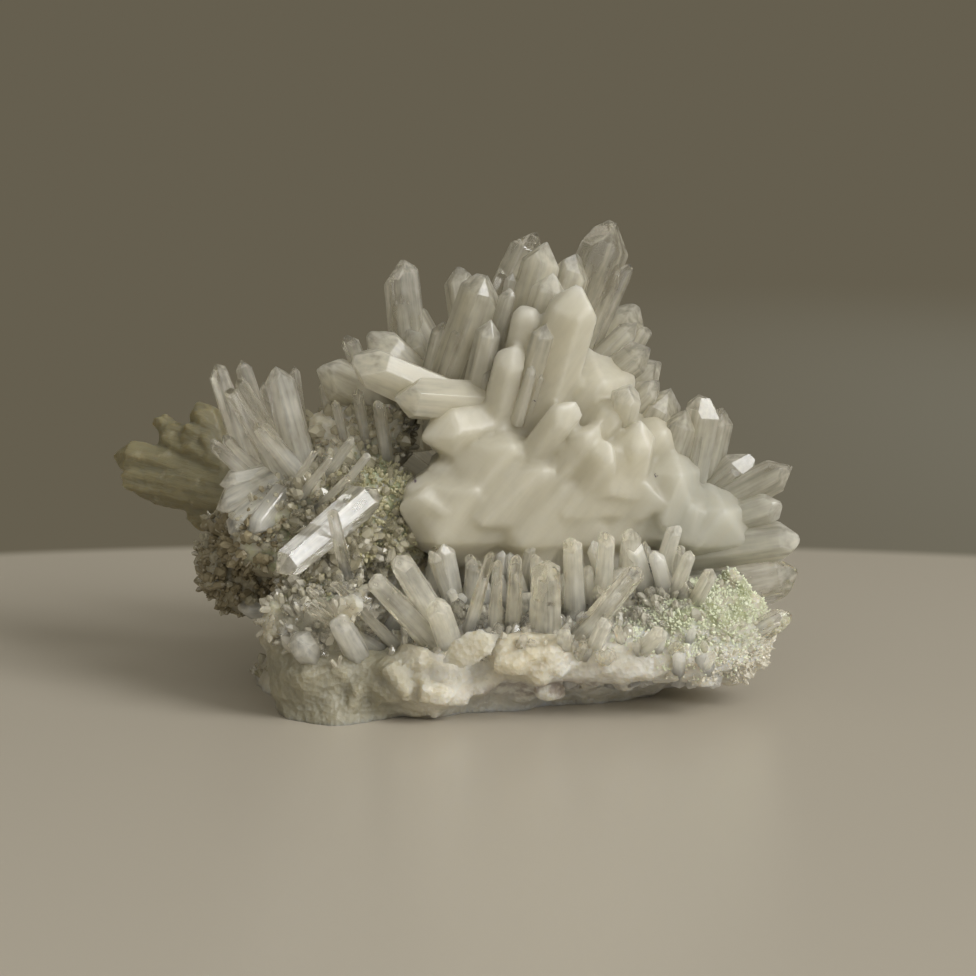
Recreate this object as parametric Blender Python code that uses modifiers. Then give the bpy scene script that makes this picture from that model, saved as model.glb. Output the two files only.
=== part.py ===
"""A hand-sized cluster of quartz crystals on a crust of matrix rock, in metres, +Z up, front at -Y.

A broad spray of milky crystals stands on a lumpy crust, with a clear tuft and a block of olive
crystals on its left, and single clear prisms along its front. Crystals that have grown through
one another are one solid. Each other crystal, or bunch of crystals, sits in its own socket. The
origin is the middle of the flat underside. Sizes are in millimetres until the last step.
"""

import math
import random

import bmesh
import bpy
from mathutils import Matrix, Vector, noise
from mathutils.bvhtree import BVHTree

MILLIMETRE = 0.001

# Places are read off a front view, taken from this eye, which looks down by this angle. A place is
# `across` and `up` in that view, as it would measure at VIEW_DISTANCE, and how far back it lies.
EYE = Vector((5.0, -365.0, 85.0))
EYE_TILT = math.radians(8.05)
VIEW_DISTANCE = 368.6
VIEW_MIDDLE_UP = 38.0

# Quartz is a six-sided prism. The six faces of its point lean this far from its long axis. The
# sides stand unevenly far out, lean in a little towards the tip, and some faces of the point start
# later than others, by a share of the width.
SIDES = 6
POINT_SLOPE = math.radians(38.2)
UNEVEN_SIDES = (0.86, 1.1)
TAPER_DEGREES = (0.4, 1.8)
LATE_FACES = (0.0, 0.0, 0.12, 0.3)

# A crystal is cut from a round blank whose radius is this many of its widths.
BLANK = 1.5

# The room left round a crystal that sits in a socket of another node.
SOCKET_GAP = 0.3

# The crust: how finely its lumps run together, how many triangles it keeps, and its relief.
ROCK_VOXEL = 1.4
ROCK_TRIANGLES = 1450
SWELL = 1.6
SWELL_SIZE = 9.0
LUMP_RISE = 2.2
LUMP_SIZE = 6.0
LUMP_LEVEL = 0.4

# The crystals of each bunch: root, tip and width. Root and tip are given as across, up and back.
CROWN = [
    ((13.0, 50.0, 6), (25.3, 80.5, 6), 7.6),
    ((1.0, 54.0, 8), (12.5, 79.0, 11), 5.6),
    ((7.0, 50.0, 2), (14.5, 77.5, 0), 6.6),
    ((-2.5, 49.0, 2), (5.0, 72.0, -4), 6.8),
    ((-5.5, 50.0, 2), (-2.0, 64.5, -2), 3.4),
    ((3.0, 51.0, 0), (8.5, 70.0, -6), 2.8),
    ((12.0, 52.0, 3), (19.2, 75.5, 2), 6.2),
    ((12.5, 46.0, -4), (20.0, 70.5, -12), 7.6),
    ((9.0, 50.0, -2), (15.5, 72.5, -7), 4.8),
    ((5.5, 46.0, -5), (9.0, 60.5, -12), 5.0),
    ((8.0, 49.0, -4), (11.5, 67.0, -10), 4.4),
    ((10.0, 49.0, -6), (14.5, 64.5, -12), 4.0),
    ((2.5, 50.0, -4), (5.5, 65.0, -9), 4.0),
]
LEFT_FAN = [
    ((-8.0, 49.5, 6), (-22.5, 57.0, -2), 6.4),
    ((3.0, 50.0, -3), (-16.5, 58.5, -10), 6.6),
    ((-2.0, 51.0, 4), (-14.0, 62.5, 0), 5.6),
    ((-2.5, 51.0, 6), (-8.0, 63.5, 4), 4.4),
    ((-12.0, 50.0, 2), (-17.5, 62.5, -1), 2.8),
    ((4.0, 51.5, -5), (-10.0, 52.5, -12), 6.2),
    ((9.0, 49.0, -3), (-6.0, 46.0, -12), 8.0),
    ((6.0, 35.5, -4), (-9.5, 34.5, -12), 9.0),
]
MIDDLE = [
    ((16.0, 38.5, -4), (26.5, 52.5, -10), 5.0),
    ((13.5, 37.0, -6), (23.0, 48.0, -13), 5.0),
    ((19.0, 36.0, -8), (25.0, 45.0, -14), 4.6),
    ((12.0, 40.0, -6), (19.0, 52.0, -13), 5.4),
    ((26.0, 38.0, -7), (1.0, 35.5, -17), 6.4),
    ((16.5, 33.0, -6), (-4.0, 29.5, -15), 7.0),
]
RIGHT_FAN = [
    ((18.0, 54.0, 4), (28.8, 64.5, 4), 3.6),
    ((19.5, 52.0, 0), (30.8, 60.5, 0), 4.8),
    ((22.0, 49.0, 3), (32.0, 58.0, 3), 3.4),
    ((23.0, 45.5, 0), (32.5, 55.0, -2), 4.6),
    ((25.5, 46.0, -4), (27.5, 54.0, -14), 4.2),
    ((26.0, 39.0, 0), (34.3, 54.0, -1), 6.8),
    ((31.5, 36.0, -3), (36.5, 50.5, -4), 5.6),
    ((36.5, 36.0, 0), (40.0, 52.5, -3), 5.8),
    ((39.0, 36.0, 2), (42.5, 50.8, 1), 4.2),
    ((36.0, 33.5, 2), (46.8, 43.5, 0), 4.8),
    ((36.5, 32.5, 0), (53.8, 41.5, -3), 5.8),
    ((35.5, 30.5, -2), (52.0, 35.5, -6), 5.2),
    ((33.5, 27.5, -2), (54.8, 30.2, -7), 6.4),
    ((27.0, 36.0, -6), (29.5, 49.0, -12), 6.0),
]
STANDING_CRYSTAL = [((-6.0, 44.0, 13), (-9.0, 74.5, 14), 5.8)]
LEFT_TUFT = [
    ((-24.5, 40.0, -3), (-29.0, 57.5, -3), 4.2),
    ((-32.0, 38.5, -2), (-38.6, 58.0, -3), 3.4),
    ((-29.0, 40.0, 0), (-34.5, 58.5, 2), 2.6),
    ((-27.5, 39.0, -4), (-36.5, 54.0, -6), 2.6),
    ((-26.0, 41.0, -2), (-35.0, 55.5, -3), 2.4),
    ((-24.0, 40.0, 0), (-26.0, 57.5, 1), 2.0),
    ((-25.0, 40.0, -5), (-32.0, 48.5, -7), 2.8),
    ((-26.0, 41.0, 0), (-31.0, 55.0, 0), 2.2),
    ((-30.5, 37.5, -4), (-39.5, 45.5, -6), 2.2),
    ((-30.0, 39.0, -3), (-37.5, 46.5, -4), 2.0),
    ((-29.0, 39.5, -4), (-38.6, 34.5, -7), 4.6),
    ((-29.0, 37.5, -5), (-36.5, 30.5, -9), 4.4),
    ((-29.0, 40.5, -3), (-38.0, 38.5, -6), 3.8),
    ((-27.5, 37.0, -6), (-32.5, 30.5, -11), 4.4),
]
OLIVE_BLOCK = [
    ((-33.0, 38.0, 22), (-55.0, 43.5, 32), 7.6),
    ((-33.0, 35.5, 20), (-52.5, 39.5, 29), 7.2),
    ((-34.0, 36.0, 23), (-41.5, 52.0, 30), 6.0),
    ((-33.5, 38.5, 23), (-48.0, 48.0, 32), 6.6),
    ((-31.5, 36.0, 19), (-43.0, 33.0, 25), 6.4),
]
LYING_CRYSTAL = [((-13.0, 38.0, -12), (-29.0, 24.5, -22), 4.6)]
CROSSING_NEEDLE = [((-17.2, 22.5, -11), (-20.0, 34.5, -25), 1.9)]
PAIRED_BLADES = [
    ((-1.5, 14.0, -15), (-9.5, 27.0, -26), 3.8),
    ((-2.5, 12.0, -15), (-13.5, 23.5, -27), 3.4),
]
VALLEY_PRISM = [((14.2, 10.0, -15), (14.5, 26.5, -25), 4.8)]
LEANING_ROD = [((17.0, 11.0, -16), (29.3, 25.3, -26), 3.2)]
LOW_RIGHT_CRYSTAL = [((34.0, 20.5, -3), (54.5, 24.8, -5), 7.6)]
CORNER_CRYSTAL = [((37.0, 9.0, -10), (53.3, 18.0, -12), 3.8)]

# Small crystals along the front, grown from the crust and one piece with it.
CRUST_CRYSTALS = [
    ((-12.0, 12.0, -15), (-24.5, 19.5, -27), 2.6),
    ((-15.0, 14.0, -15), (-24.0, 22.0, -28), 1.6),
    ((-10.0, 13.0, -15), (-20.0, 23.0, -27), 1.8),
    ((2.0, 15.0, -15), (5.5, 27.5, -24), 2.2),
    ((6.0, 14.0, -15), (6.5, 26.5, -24), 2.4),
    ((9.0, 13.0, -15), (9.5, 27.0, -24), 3.0),
    ((19.0, 18.0, -12), (18.5, 30.0, -20), 4.2),
    ((23.0, 18.0, -10), (24.0, 31.0, -19), 4.0),
    ((27.0, 18.0, -8), (28.0, 31.5, -17), 4.0),
    ((30.0, 16.0, -8), (35.0, 32.0, -15), 3.6),
    ((32.0, 14.0, -8), (37.5, 28.0, -17), 3.4),
    ((34.0, 12.0, -8), (41.0, 25.0, -17), 3.4),
    ((26.0, 8.0, -14), (33.0, 15.5, -26), 3.4),
    ((20.0, 8.0, -14), (24.0, 17.0, -27), 3.2),
    ((38.0, 10.0, -8), (47.5, 12.5, -15), 3.2),
    ((0.0, 10.0, -14), (-3.5, 20.0, -26), 4.6),
    ((-14.0, 8.0, -12), (-19.0, 17.0, -27), 5.0),
    ((-20.0, 8.0, -10), (-25.5, 14.0, -25), 5.6),
    ((-30.0, 26.0, 6), (-40.5, 27.0, 4), 4.6),
    ((-32.0, 23.0, 8), (-42.0, 26.0, 12), 4.6),
    ((-27.0, 19.0, 4), (-35.0, 18.5, 2), 4.6),
]

# The crystals of the hidden back fan out from these places, in rows: how many degrees a row rises,
# how many crystals it has and how long they are. Below that are the bearings between which a row
# spreads, how far a crystal strays from its place in degrees, how far its root lies out from the
# middle, and the share of the row's length that it has.
BACK_FANS = [
    ((8.0, 34.0, 14), [(10, 7, 25.0), (32, 6, 27.0)]),
    ((10.0, 48.0, 8), [(34, 5, 23.0), (56, 4, 25.0), (76, 2, 24.0)]),
]
BACK_WIDTHS = (4.6, 7.4)
BACK_SWEEP = (15.0, 165.0)
BACK_STRAY = 6.0
BACK_ROOTS = Vector((10.0, 4.0))
BACK_LENGTHS = (0.82, 1.1)

# Short crystals that stand out of the crust's sides and back: their bearings from the middle,
# measured from +X towards the back in degrees, their heights, widths and lengths in widths, and
# how far they turn upwards.
RING_BEARINGS = range(12, 170, 22)
RING_STRAY = 5.0
RING_HEIGHTS = (9.0, 23.0)
RING_WIDTHS = (3.4, 5.6)
RING_LENGTH = 1.6
RING_MIDDLE = Vector((2.0, 6.0, 0.0))
RING_RISE = Vector((0.0, 0.0, 0.4))
WELL_OUTSIDE = 90.0

# The milky mass of the spray and the dense foot of each other bunch: the middle as a seen place,
# and the half sizes along X, Y and Z.
SPRAY_HEART = [
    ((9.0, 38.0, -3), (18.0, 13.0, 10.0)),
    ((-3.0, 34.0, -4), (8.5, 9.0, 7.0)),
    ((20.0, 45.0, 0), (13.0, 12.5, 12.0)),
    ((4.0, 49.5, 2), (11.0, 9.0, 8.5)),
    ((34.0, 37.0, -4), (5.5, 8.5, 9.0)),
    ((26.0, 33.5, -3), (9.0, 9.0, 7.5)),
    ((40.0, 32.5, -3), (8.5, 8.5, 6.5)),
    ((8.0, 32.0, 14), (18.0, 13.0, 13.0)),
]
TUFT_HEART = [((-28.5, 38.5, -4), (4.5, 5.0, 4.0))]

# The lumps of the crust, in the same form.
CRUST_LUMPS = [
    ((-22.0, 12.0, -10), (9.0, 12.0, 13.5)),
    ((-19.0, 2.0, -14), (10.0, 8.5, 5.0)),
    ((-27.0, 31.0, -2), (10.5, 10.0, 9.0)),
    ((-16.0, 33.0, -3), (12.0, 8.5, 10.0)),
    ((-18.0, 31.5, -9), (6.0, 5.0, 6.0)),
    ((-15.0, 46.0, 4), (8.0, 8.0, 8.0)),
    ((-32.0, 26.0, 12), (9.0, 12.0, 9.0)),
    ((-29.0, 34.0, 19), (8.0, 8.0, 8.0)),
    ((10.0, 14.5, 4), (34.0, 22.0, 11.0)),
    ((-6.0, 8.0, -15), (14.0, 8.0, 6.0)),
    ((24.0, 11.0, -14), (23.0, 8.5, 5.0)),
    ((36.0, 16.5, -6), (14.0, 12.0, 8.0)),
    ((44.0, 13.5, -8), (7.5, 8.0, 6.5)),
    ((1.0, 20.0, 14), (34.0, 20.0, 14.0)),
    ((-4.0, 7.0, 10), (30.0, 26.0, 9.0)),
    ((16.0, 5.0, 8), (16.0, 17.0, 6.0)),
]


def seen(across, up, back):
    """The place that shows `across` and `up` in the front view and lies `back` behind the origin."""
    sight = Vector((across - EYE.x, VIEW_DISTANCE, up - VIEW_MIDDLE_UP))
    sight.rotate(Matrix.Rotation(-EYE_TILT, 3, "X"))
    return EYE + sight * ((back - EYE.y) / sight.y)


def cut(bm, point, normal):
    """Cuts away what lies beyond a plane, and closes the cut."""
    everything = bm.verts[:] + bm.edges[:] + bm.faces[:]
    bmesh.ops.bisect_plane(
        bm, geom=everything, dist=1e-4, plane_co=point, plane_no=normal, clear_outer=True
    )
    rim = [edge for edge in bm.edges if edge.is_boundary]
    if rim:
        bmesh.ops.edgeloop_fill(bm, edges=rim)


def crystal(root, tip, width, chance, grow, both_ends):
    """One crystal as a mesh: a prism of uneven sides, cut to a point at its tip."""
    length = (tip - root).length
    bm = bmesh.new()
    bmesh.ops.create_cone(
        bm,
        cap_ends=True,
        segments=2 * SIDES,
        radius1=BLANK * width,
        radius2=BLANK * width,
        depth=length + 2 * grow,
        matrix=Matrix.Translation((0, 0, length / 2)),
    )
    turn = chance.uniform(0, math.tau / SIDES)
    taper = math.radians(chance.uniform(*TAPER_DEGREES))
    for side in range(SIDES):
        angle = turn + side * math.tau / SIDES
        out = Vector((math.cos(angle), math.sin(angle), 0))
        up = Vector((0, 0, 1))
        reach = width / 2 * chance.uniform(*UNEVEN_SIDES) + grow
        late = width * chance.choice(LATE_FACES) + grow / math.sin(POINT_SLOPE)
        cut(bm, out * reach + up * length / 2, out * math.cos(taper) + up * math.sin(taper))
        cut(bm, up * (length + late), out * math.cos(POINT_SLOPE) + up * math.sin(POINT_SLOPE))
        if both_ends:
            cut(bm, -up * late, out * math.cos(POINT_SLOPE) - up * math.sin(POINT_SLOPE))
    aim = (tip - root).to_track_quat("Z", "Y").to_matrix().to_4x4()
    bm.transform(Matrix.Translation(root) @ aim)
    return mesh_of(bm)


def lump(middle, half, grow=0.0, subdivisions=2):
    """An oval lump as a mesh."""
    bm = bmesh.new()
    size = Matrix.Diagonal((half[0] + grow, half[1] + grow, half[2] + grow, 1))
    place = Matrix.Translation(seen(*middle)) @ size
    bmesh.ops.create_icosphere(bm, subdivisions=subdivisions, radius=1, matrix=place)
    return mesh_of(bm)


def mesh_of(bm):
    """The mesh of a bmesh, with its faces pointing out."""
    bmesh.ops.recalc_face_normals(bm, faces=bm.faces[:])
    if bm.calc_volume(signed=True) < 0:
        bmesh.ops.reverse_faces(bm, faces=bm.faces[:])
    mesh = bpy.data.meshes.new("form")
    bm.to_mesh(mesh)
    bm.free()
    return mesh


def listed(name, specs):
    """The root, tip, width and chance of each crystal in a list."""
    for number, (root, tip, width) in enumerate(specs):
        yield seen(*root), seen(*tip), width, random.Random(f"{name} {number}")


def back_fan():
    """The same of the crystals of the hidden back, fanned out in rows."""
    chance = random.Random("back fan")
    first, last = BACK_SWEEP
    for heart, rows in BACK_FANS:
        for rise, count, length in rows:
            for step in range(count):
                bearing = first + (last - first) * (step + 0.5) / count
                turn = math.radians(bearing + chance.uniform(-BACK_STRAY, BACK_STRAY))
                tilt = math.radians(rise + chance.uniform(-BACK_STRAY, BACK_STRAY))
                heading = Vector((math.cos(turn), math.sin(turn), 0))
                aim = heading * math.cos(tilt) + Vector((0, 0, math.sin(tilt)))
                root = seen(*heart) + heading * Vector((*BACK_ROOTS, 0))
                width = chance.uniform(*BACK_WIDTHS)
                yield root, root + aim * length * chance.uniform(*BACK_LENGTHS), width, chance


def ring(rock):
    """The same of the short crystals round the crust, each rooted where it meets the rock."""
    chance = random.Random("ring")
    tree = BVHTree.FromBMesh(rock)
    for degrees in RING_BEARINGS:
        bearing = math.radians(degrees + chance.uniform(-RING_STRAY, RING_STRAY))
        heading = Vector((math.cos(bearing), math.sin(bearing), 0))
        height = Vector((0, 0, chance.uniform(*RING_HEIGHTS)))
        place, facing = tree.ray_cast(RING_MIDDLE + heading * WELL_OUTSIDE + height, -heading)[:2]
        width = chance.uniform(*RING_WIDTHS)
        if place:
            aim = (facing + heading + RING_RISE).normalized()
            yield place - aim * width, place + aim * RING_LENGTH * width, width, chance


def workshop(meshes):
    """A hidden collection that holds each mesh as an object."""
    shelf = bpy.data.collections.new("shapes")
    bpy.context.scene.collection.children.link(shelf)
    for mesh in meshes:
        shelf.objects.link(bpy.data.objects.new("shape", mesh))
    return shelf


def clear_away(shelf):
    for thing in shelf.objects[:]:
        mesh = thing.data
        bpy.data.objects.remove(thing)
        bpy.data.meshes.remove(mesh)
    bpy.data.collections.remove(shelf)


def apply_modifiers(thing):
    """Makes an object's mesh what its modifiers make of it."""
    evaluated = thing.evaluated_get(bpy.context.evaluated_depsgraph_get())
    result = bpy.data.meshes.new_from_object(evaluated)
    thing.modifiers.clear()
    old = thing.data
    thing.data = result
    bpy.data.meshes.remove(old)


def combine(mesh, operation, others):
    """Joins other meshes to a mesh, or cuts them from it, and gives back the result."""
    if not others:
        return mesh
    shelf = workshop(others)
    thing = bpy.data.objects.new("work", mesh)
    bpy.context.scene.collection.objects.link(thing)
    step = thing.modifiers.new(operation.title(), "BOOLEAN")
    step.operation = operation
    step.operand_type = "COLLECTION"
    step.collection = shelf
    apply_modifiers(thing)
    result = thing.data
    bpy.data.objects.remove(thing)
    clear_away(shelf)
    return result


def whole(mesh):
    """The largest of the separate pieces in a mesh, without the crumbs that a cut leaves."""
    bm = bmesh.new()
    bm.from_mesh(mesh)
    bpy.data.meshes.remove(mesh)
    left = set(bm.verts)
    pieces = []
    while left:
        piece = {left.pop()}
        fringe = set(piece)
        while fringe:
            near = {edge.other_vert(vert) for vert in fringe for edge in vert.link_edges}
            fringe = near - piece
            piece |= fringe
        left -= piece
        pieces.append(piece)
    largest = max(pieces, key=len)
    bmesh.ops.delete(bm, geom=[vert for vert in bm.verts if vert not in largest], context="VERTS")
    return mesh_of(bm)


# Each node but the crust: its crystals, and the lumps that join them at the foot.
BUNCHES = {
    "lying_crystal": (LYING_CRYSTAL, []),
    "crossing_needle": (CROSSING_NEEDLE, []),
    "paired_blades": (PAIRED_BLADES, []),
    "valley_prism": (VALLEY_PRISM, []),
    "leaning_rod": (LEANING_ROD, []),
    "low_right_crystal": (LOW_RIGHT_CRYSTAL, []),
    "corner_crystal": (CORNER_CRYSTAL, []),
    "standing_crystal": (STANDING_CRYSTAL, []),
    "left_tuft": (LEFT_TUFT, TUFT_HEART),
    "olive_block": (OLIVE_BLOCK, []),
    "main_spray": (CROWN + LEFT_FAN + MIDDLE + RIGHT_FAN, SPRAY_HEART),
}


def bunch(name, grow=0.0):
    """The solid of one bunch, or that solid grown all round, which cuts its socket."""
    specs, hearts = BUNCHES[name]
    crystals = list(listed(name, specs))
    if name == "main_spray":
        crystals += back_fan()
    meshes = [crystal(*each, grow, name == "lying_crystal") for each in crystals]
    meshes += [lump(*heart, grow) for heart in hearts]
    return combine(meshes[0], "UNION", meshes[1:])


def roughness(point):
    """How far the crust's surface stands out at a point: broad swells with sharp small lumps."""
    near, next_near = noise.voronoi(point / LUMP_SIZE)[0][:2]
    return SWELL * noise.noise(point / SWELL_SIZE) + LUMP_RISE * (next_near - near - LUMP_LEVEL)


def crust():
    """The lumps of the crust run together, roughened, thinned out and cut flat underneath."""
    bm = bmesh.new()
    for middle, half in CRUST_LUMPS:
        mesh = lump(middle, half, subdivisions=4)
        bm.from_mesh(mesh)
        bpy.data.meshes.remove(mesh)
    rock = bpy.data.objects.new("rock", mesh_of(bm))
    bpy.context.scene.collection.objects.link(rock)
    blend = rock.modifiers.new("Blend", "REMESH")
    blend.mode = "VOXEL"
    blend.voxel_size = ROCK_VOXEL
    apply_modifiers(rock)
    for vert in rock.data.vertices:
        vert.co += vert.normal * roughness(vert.co)
    clean = rock.modifiers.new("Clean", "REMESH")
    clean.mode = "VOXEL"
    clean.voxel_size = ROCK_VOXEL
    apply_modifiers(rock)
    thin = rock.modifiers.new("Thin", "DECIMATE")
    thin.ratio = ROCK_TRIANGLES / (2 * len(rock.data.polygons))
    apply_modifiers(rock)
    bm = bmesh.new()
    bm.from_mesh(rock.data)
    bpy.data.objects.remove(rock)
    cut(bm, Vector((0, 0, 0)), Vector((0, 0, -1)))
    grown = list(listed("crust", CRUST_CRYSTALS)) + list(ring(bm))
    return combine(mesh_of(bm), "UNION", [crystal(*each, 0.0, False) for each in grown])


def socketed(mesh, sockets):
    """A mesh with the sockets of the nodes before it cut out."""
    for socket in sockets:
        mesh = combine(mesh, "DIFFERENCE", [socket.copy()])
    return mesh


def finish(name, colour, roughness):
    material = bpy.data.materials.new(name)
    material.use_nodes = True
    shader = material.node_tree.nodes["Principled BSDF"]
    shader.inputs["Base Color"].default_value = (*colour, 1)
    shader.inputs["Roughness"].default_value = roughness
    shader.inputs["Metallic"].default_value = 0.0
    return material


def place(name, mesh, material, collection):
    """Puts a finished solid in the scene as a named node, in metres."""
    mesh = whole(mesh)
    mesh.name = name
    mesh.transform(Matrix.Scale(MILLIMETRE, 4))
    mesh.materials.append(material)
    collection.objects.link(bpy.data.objects.new(name, mesh))


def main():
    for thing in bpy.data.objects[:]:
        bpy.data.objects.remove(thing)
    cluster = bpy.data.collections.new("quartz_cluster")
    bpy.context.scene.collection.children.link(cluster)
    clear = finish("clear_quartz", (0.62, 0.60, 0.52), 0.08)
    milky = finish("milky_quartz", (0.66, 0.62, 0.50), 0.25)
    olive = finish("olive_quartz", (0.30, 0.26, 0.14), 0.35)
    rock = finish("matrix_rock", (0.34, 0.31, 0.22), 0.7)
    materials = {"main_spray": milky, "olive_block": olive}

    sockets = []
    for name in BUNCHES:
        place(name, socketed(bunch(name), sockets), materials.get(name, clear), cluster)
        sockets.append(bunch(name, SOCKET_GAP))
    place("matrix", socketed(crust(), sockets), rock, cluster)


if __name__ == "__main__":
    main()
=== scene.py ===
"""A natural quartz cluster: a milky spray, a clear tuft and single prisms on a druse-covered crust.

Sizes are in millimetres where a name doesn't say otherwise, and pieces are scaled to metres when
they are placed. Crystals stand where the solids of the frame have them.
"""

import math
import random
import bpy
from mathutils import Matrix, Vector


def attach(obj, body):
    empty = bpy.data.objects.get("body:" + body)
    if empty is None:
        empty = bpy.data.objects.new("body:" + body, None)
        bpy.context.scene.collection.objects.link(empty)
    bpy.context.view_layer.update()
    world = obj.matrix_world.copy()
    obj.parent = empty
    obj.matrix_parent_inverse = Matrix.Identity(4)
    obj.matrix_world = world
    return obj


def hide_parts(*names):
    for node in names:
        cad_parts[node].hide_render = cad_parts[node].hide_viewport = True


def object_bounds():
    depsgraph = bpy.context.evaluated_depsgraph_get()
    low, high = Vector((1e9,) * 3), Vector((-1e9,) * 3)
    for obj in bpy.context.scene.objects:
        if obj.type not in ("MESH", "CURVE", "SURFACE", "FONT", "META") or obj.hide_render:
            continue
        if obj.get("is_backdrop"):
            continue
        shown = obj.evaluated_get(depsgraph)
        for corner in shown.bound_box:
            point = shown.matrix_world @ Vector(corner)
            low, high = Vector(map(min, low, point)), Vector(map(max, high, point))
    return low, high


bl_info = {
    "name": "Quartz Cluster",
    "version": (1, 0, 0),
    "blender": (4, 5, 0),
    "location": "3D View > Sidebar > Quartz",
    "description": "A hand-sized cluster of milky and clear quartz on its crust of rock",
    "category": "Add Mesh",
}

import bmesh
import bpy
import numpy as np
from bpy.props import FloatProperty, FloatVectorProperty, IntProperty, PointerProperty
from mathutils import Matrix, Vector, noise

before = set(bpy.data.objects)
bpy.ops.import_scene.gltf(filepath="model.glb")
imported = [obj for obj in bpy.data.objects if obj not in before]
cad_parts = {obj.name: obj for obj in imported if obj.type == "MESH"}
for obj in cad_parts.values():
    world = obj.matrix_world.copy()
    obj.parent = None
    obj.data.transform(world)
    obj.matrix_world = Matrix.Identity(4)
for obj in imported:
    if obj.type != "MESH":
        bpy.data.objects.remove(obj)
cad_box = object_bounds()

MILLIMETRE = 0.001

# The front view that the places are read from: its eye, how far it looks down, and the lens.
EYE = Vector((5.0, -365.0, 85.0))
EYE_TILT = math.radians(8.05)
VIEW_DISTANCE = 368.6
VIEW_MIDDLE_UP = 38.0
LENS = 85.0

SIDES = 6
POINT_SLOPE = math.radians(38.2)
UNEVEN_SIDES = (0.86, 1.1)
TAPER_DEGREES = (0.4, 1.8)
LATE_FACES = (0.0, 0.0, 0.12, 0.3)
BLANK = 1.5

QUARTZ_IOR = 1.544

# Veils in the quartz run along its crystals in streaks.
STREAK_WIDTH = 1.2
STREAK_LENGTH = 10.0

# The crystals of each bunch: root, tip, width, and how hazy the tip is. Root and tip are given as
# across, up and back.
CROWN = [
    ((13.0, 50.0, 6), (25.3, 80.5, 6), 7.6, 0.25),
    ((1.0, 54.0, 8), (12.5, 79.0, 11), 5.6, 0.25),
    ((7.0, 50.0, 2), (14.5, 77.5, 0), 6.6, 0.75),
    ((-2.5, 49.0, 2), (5.0, 72.0, -4), 6.8, 0.6),
    ((-5.5, 50.0, 2), (-2.0, 64.5, -2), 3.4, 0.5),
    ((3.0, 51.0, 0), (8.5, 70.0, -6), 2.8, 0.6),
    ((12.0, 52.0, 3), (19.2, 75.5, 2), 6.2, 0.6),
    ((12.5, 46.0, -4), (20.0, 70.5, -12), 7.6, 0.93),
    ((9.0, 50.0, -2), (15.5, 72.5, -7), 4.8, 0.8),
    ((5.5, 46.0, -5), (9.0, 60.5, -12), 5.0, 0.93),
    ((8.0, 49.0, -4), (11.5, 67.0, -10), 4.4, 0.93),
    ((10.0, 49.0, -6), (14.5, 64.5, -12), 4.0, 0.8),
    ((2.5, 50.0, -4), (5.5, 65.0, -9), 4.0, 0.7),
]
LEFT_FAN = [
    ((-8.0, 49.5, 6), (-22.5, 57.0, -2), 6.4, 0.6),
    ((3.0, 50.0, -3), (-16.5, 58.5, -10), 6.6, 0.85),
    ((-2.0, 51.0, 4), (-14.0, 62.5, 0), 5.6, 0.7),
    ((-2.5, 51.0, 6), (-8.0, 63.5, 4), 4.4, 0.6),
    ((-12.0, 50.0, 2), (-17.5, 62.5, -1), 2.8, 0.4),
    ((4.0, 51.5, -5), (-10.0, 52.5, -12), 6.2, 0.9),
    ((9.0, 49.0, -3), (-6.0, 46.0, -12), 8.0, 0.95),
    ((6.0, 35.5, -4), (-9.5, 34.5, -12), 9.0, 0.95),
]
MIDDLE = [
    ((14.0, 36.5, -5.5), (26.5, 52.5, -11), 5.0, 0.93),
    ((11.0, 34.0, -8), (23.0, 48.0, -13.5), 5.0, 0.93),
    ((17.0, 33.0, -8), (25.0, 45.0, -14.5), 4.6, 0.93),
    ((8.0, 38.0, -7), (19.0, 52.0, -13.5), 5.4, 0.93),
]
RIGHT_FAN = [
    ((18.0, 54.0, 4), (28.8, 64.5, 4), 3.6, 0.5),
    ((19.5, 52.0, 0), (30.8, 60.5, 0), 4.8, 0.5),
    ((22.0, 49.0, 3), (32.0, 58.0, 3), 3.4, 0.5),
    ((23.0, 45.5, 0), (32.5, 55.0, -2), 4.6, 0.5),
    ((25.5, 46.0, -4), (27.5, 54.0, -14), 4.2, 0.9),
    ((26.0, 39.0, 0), (34.3, 54.0, -1), 6.8, 0.6),
    ((31.5, 36.0, -3), (36.5, 50.5, -4), 5.6, 0.6),
    ((36.5, 36.0, 0), (40.0, 52.5, -3), 5.8, 0.45),
    ((39.0, 36.0, 2), (42.5, 50.8, 1), 4.2, 0.4),
    ((36.0, 33.5, 2), (46.8, 43.5, 0), 4.8, 0.5),
    ((36.5, 32.5, 0), (53.8, 41.5, -3), 5.8, 0.4),
    ((35.5, 30.5, -2), (52.0, 35.5, -6), 5.2, 0.75),
    ((33.5, 27.5, -2), (54.8, 30.2, -7), 6.4, 0.75),
    ((27.0, 36.0, -6), (29.5, 49.0, -12), 6.0, 0.93),
]
STANDING_CRYSTAL = [((-6.0, 44.0, 13), (-9.0, 74.5, 14), 5.8, 0.2)]
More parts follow.
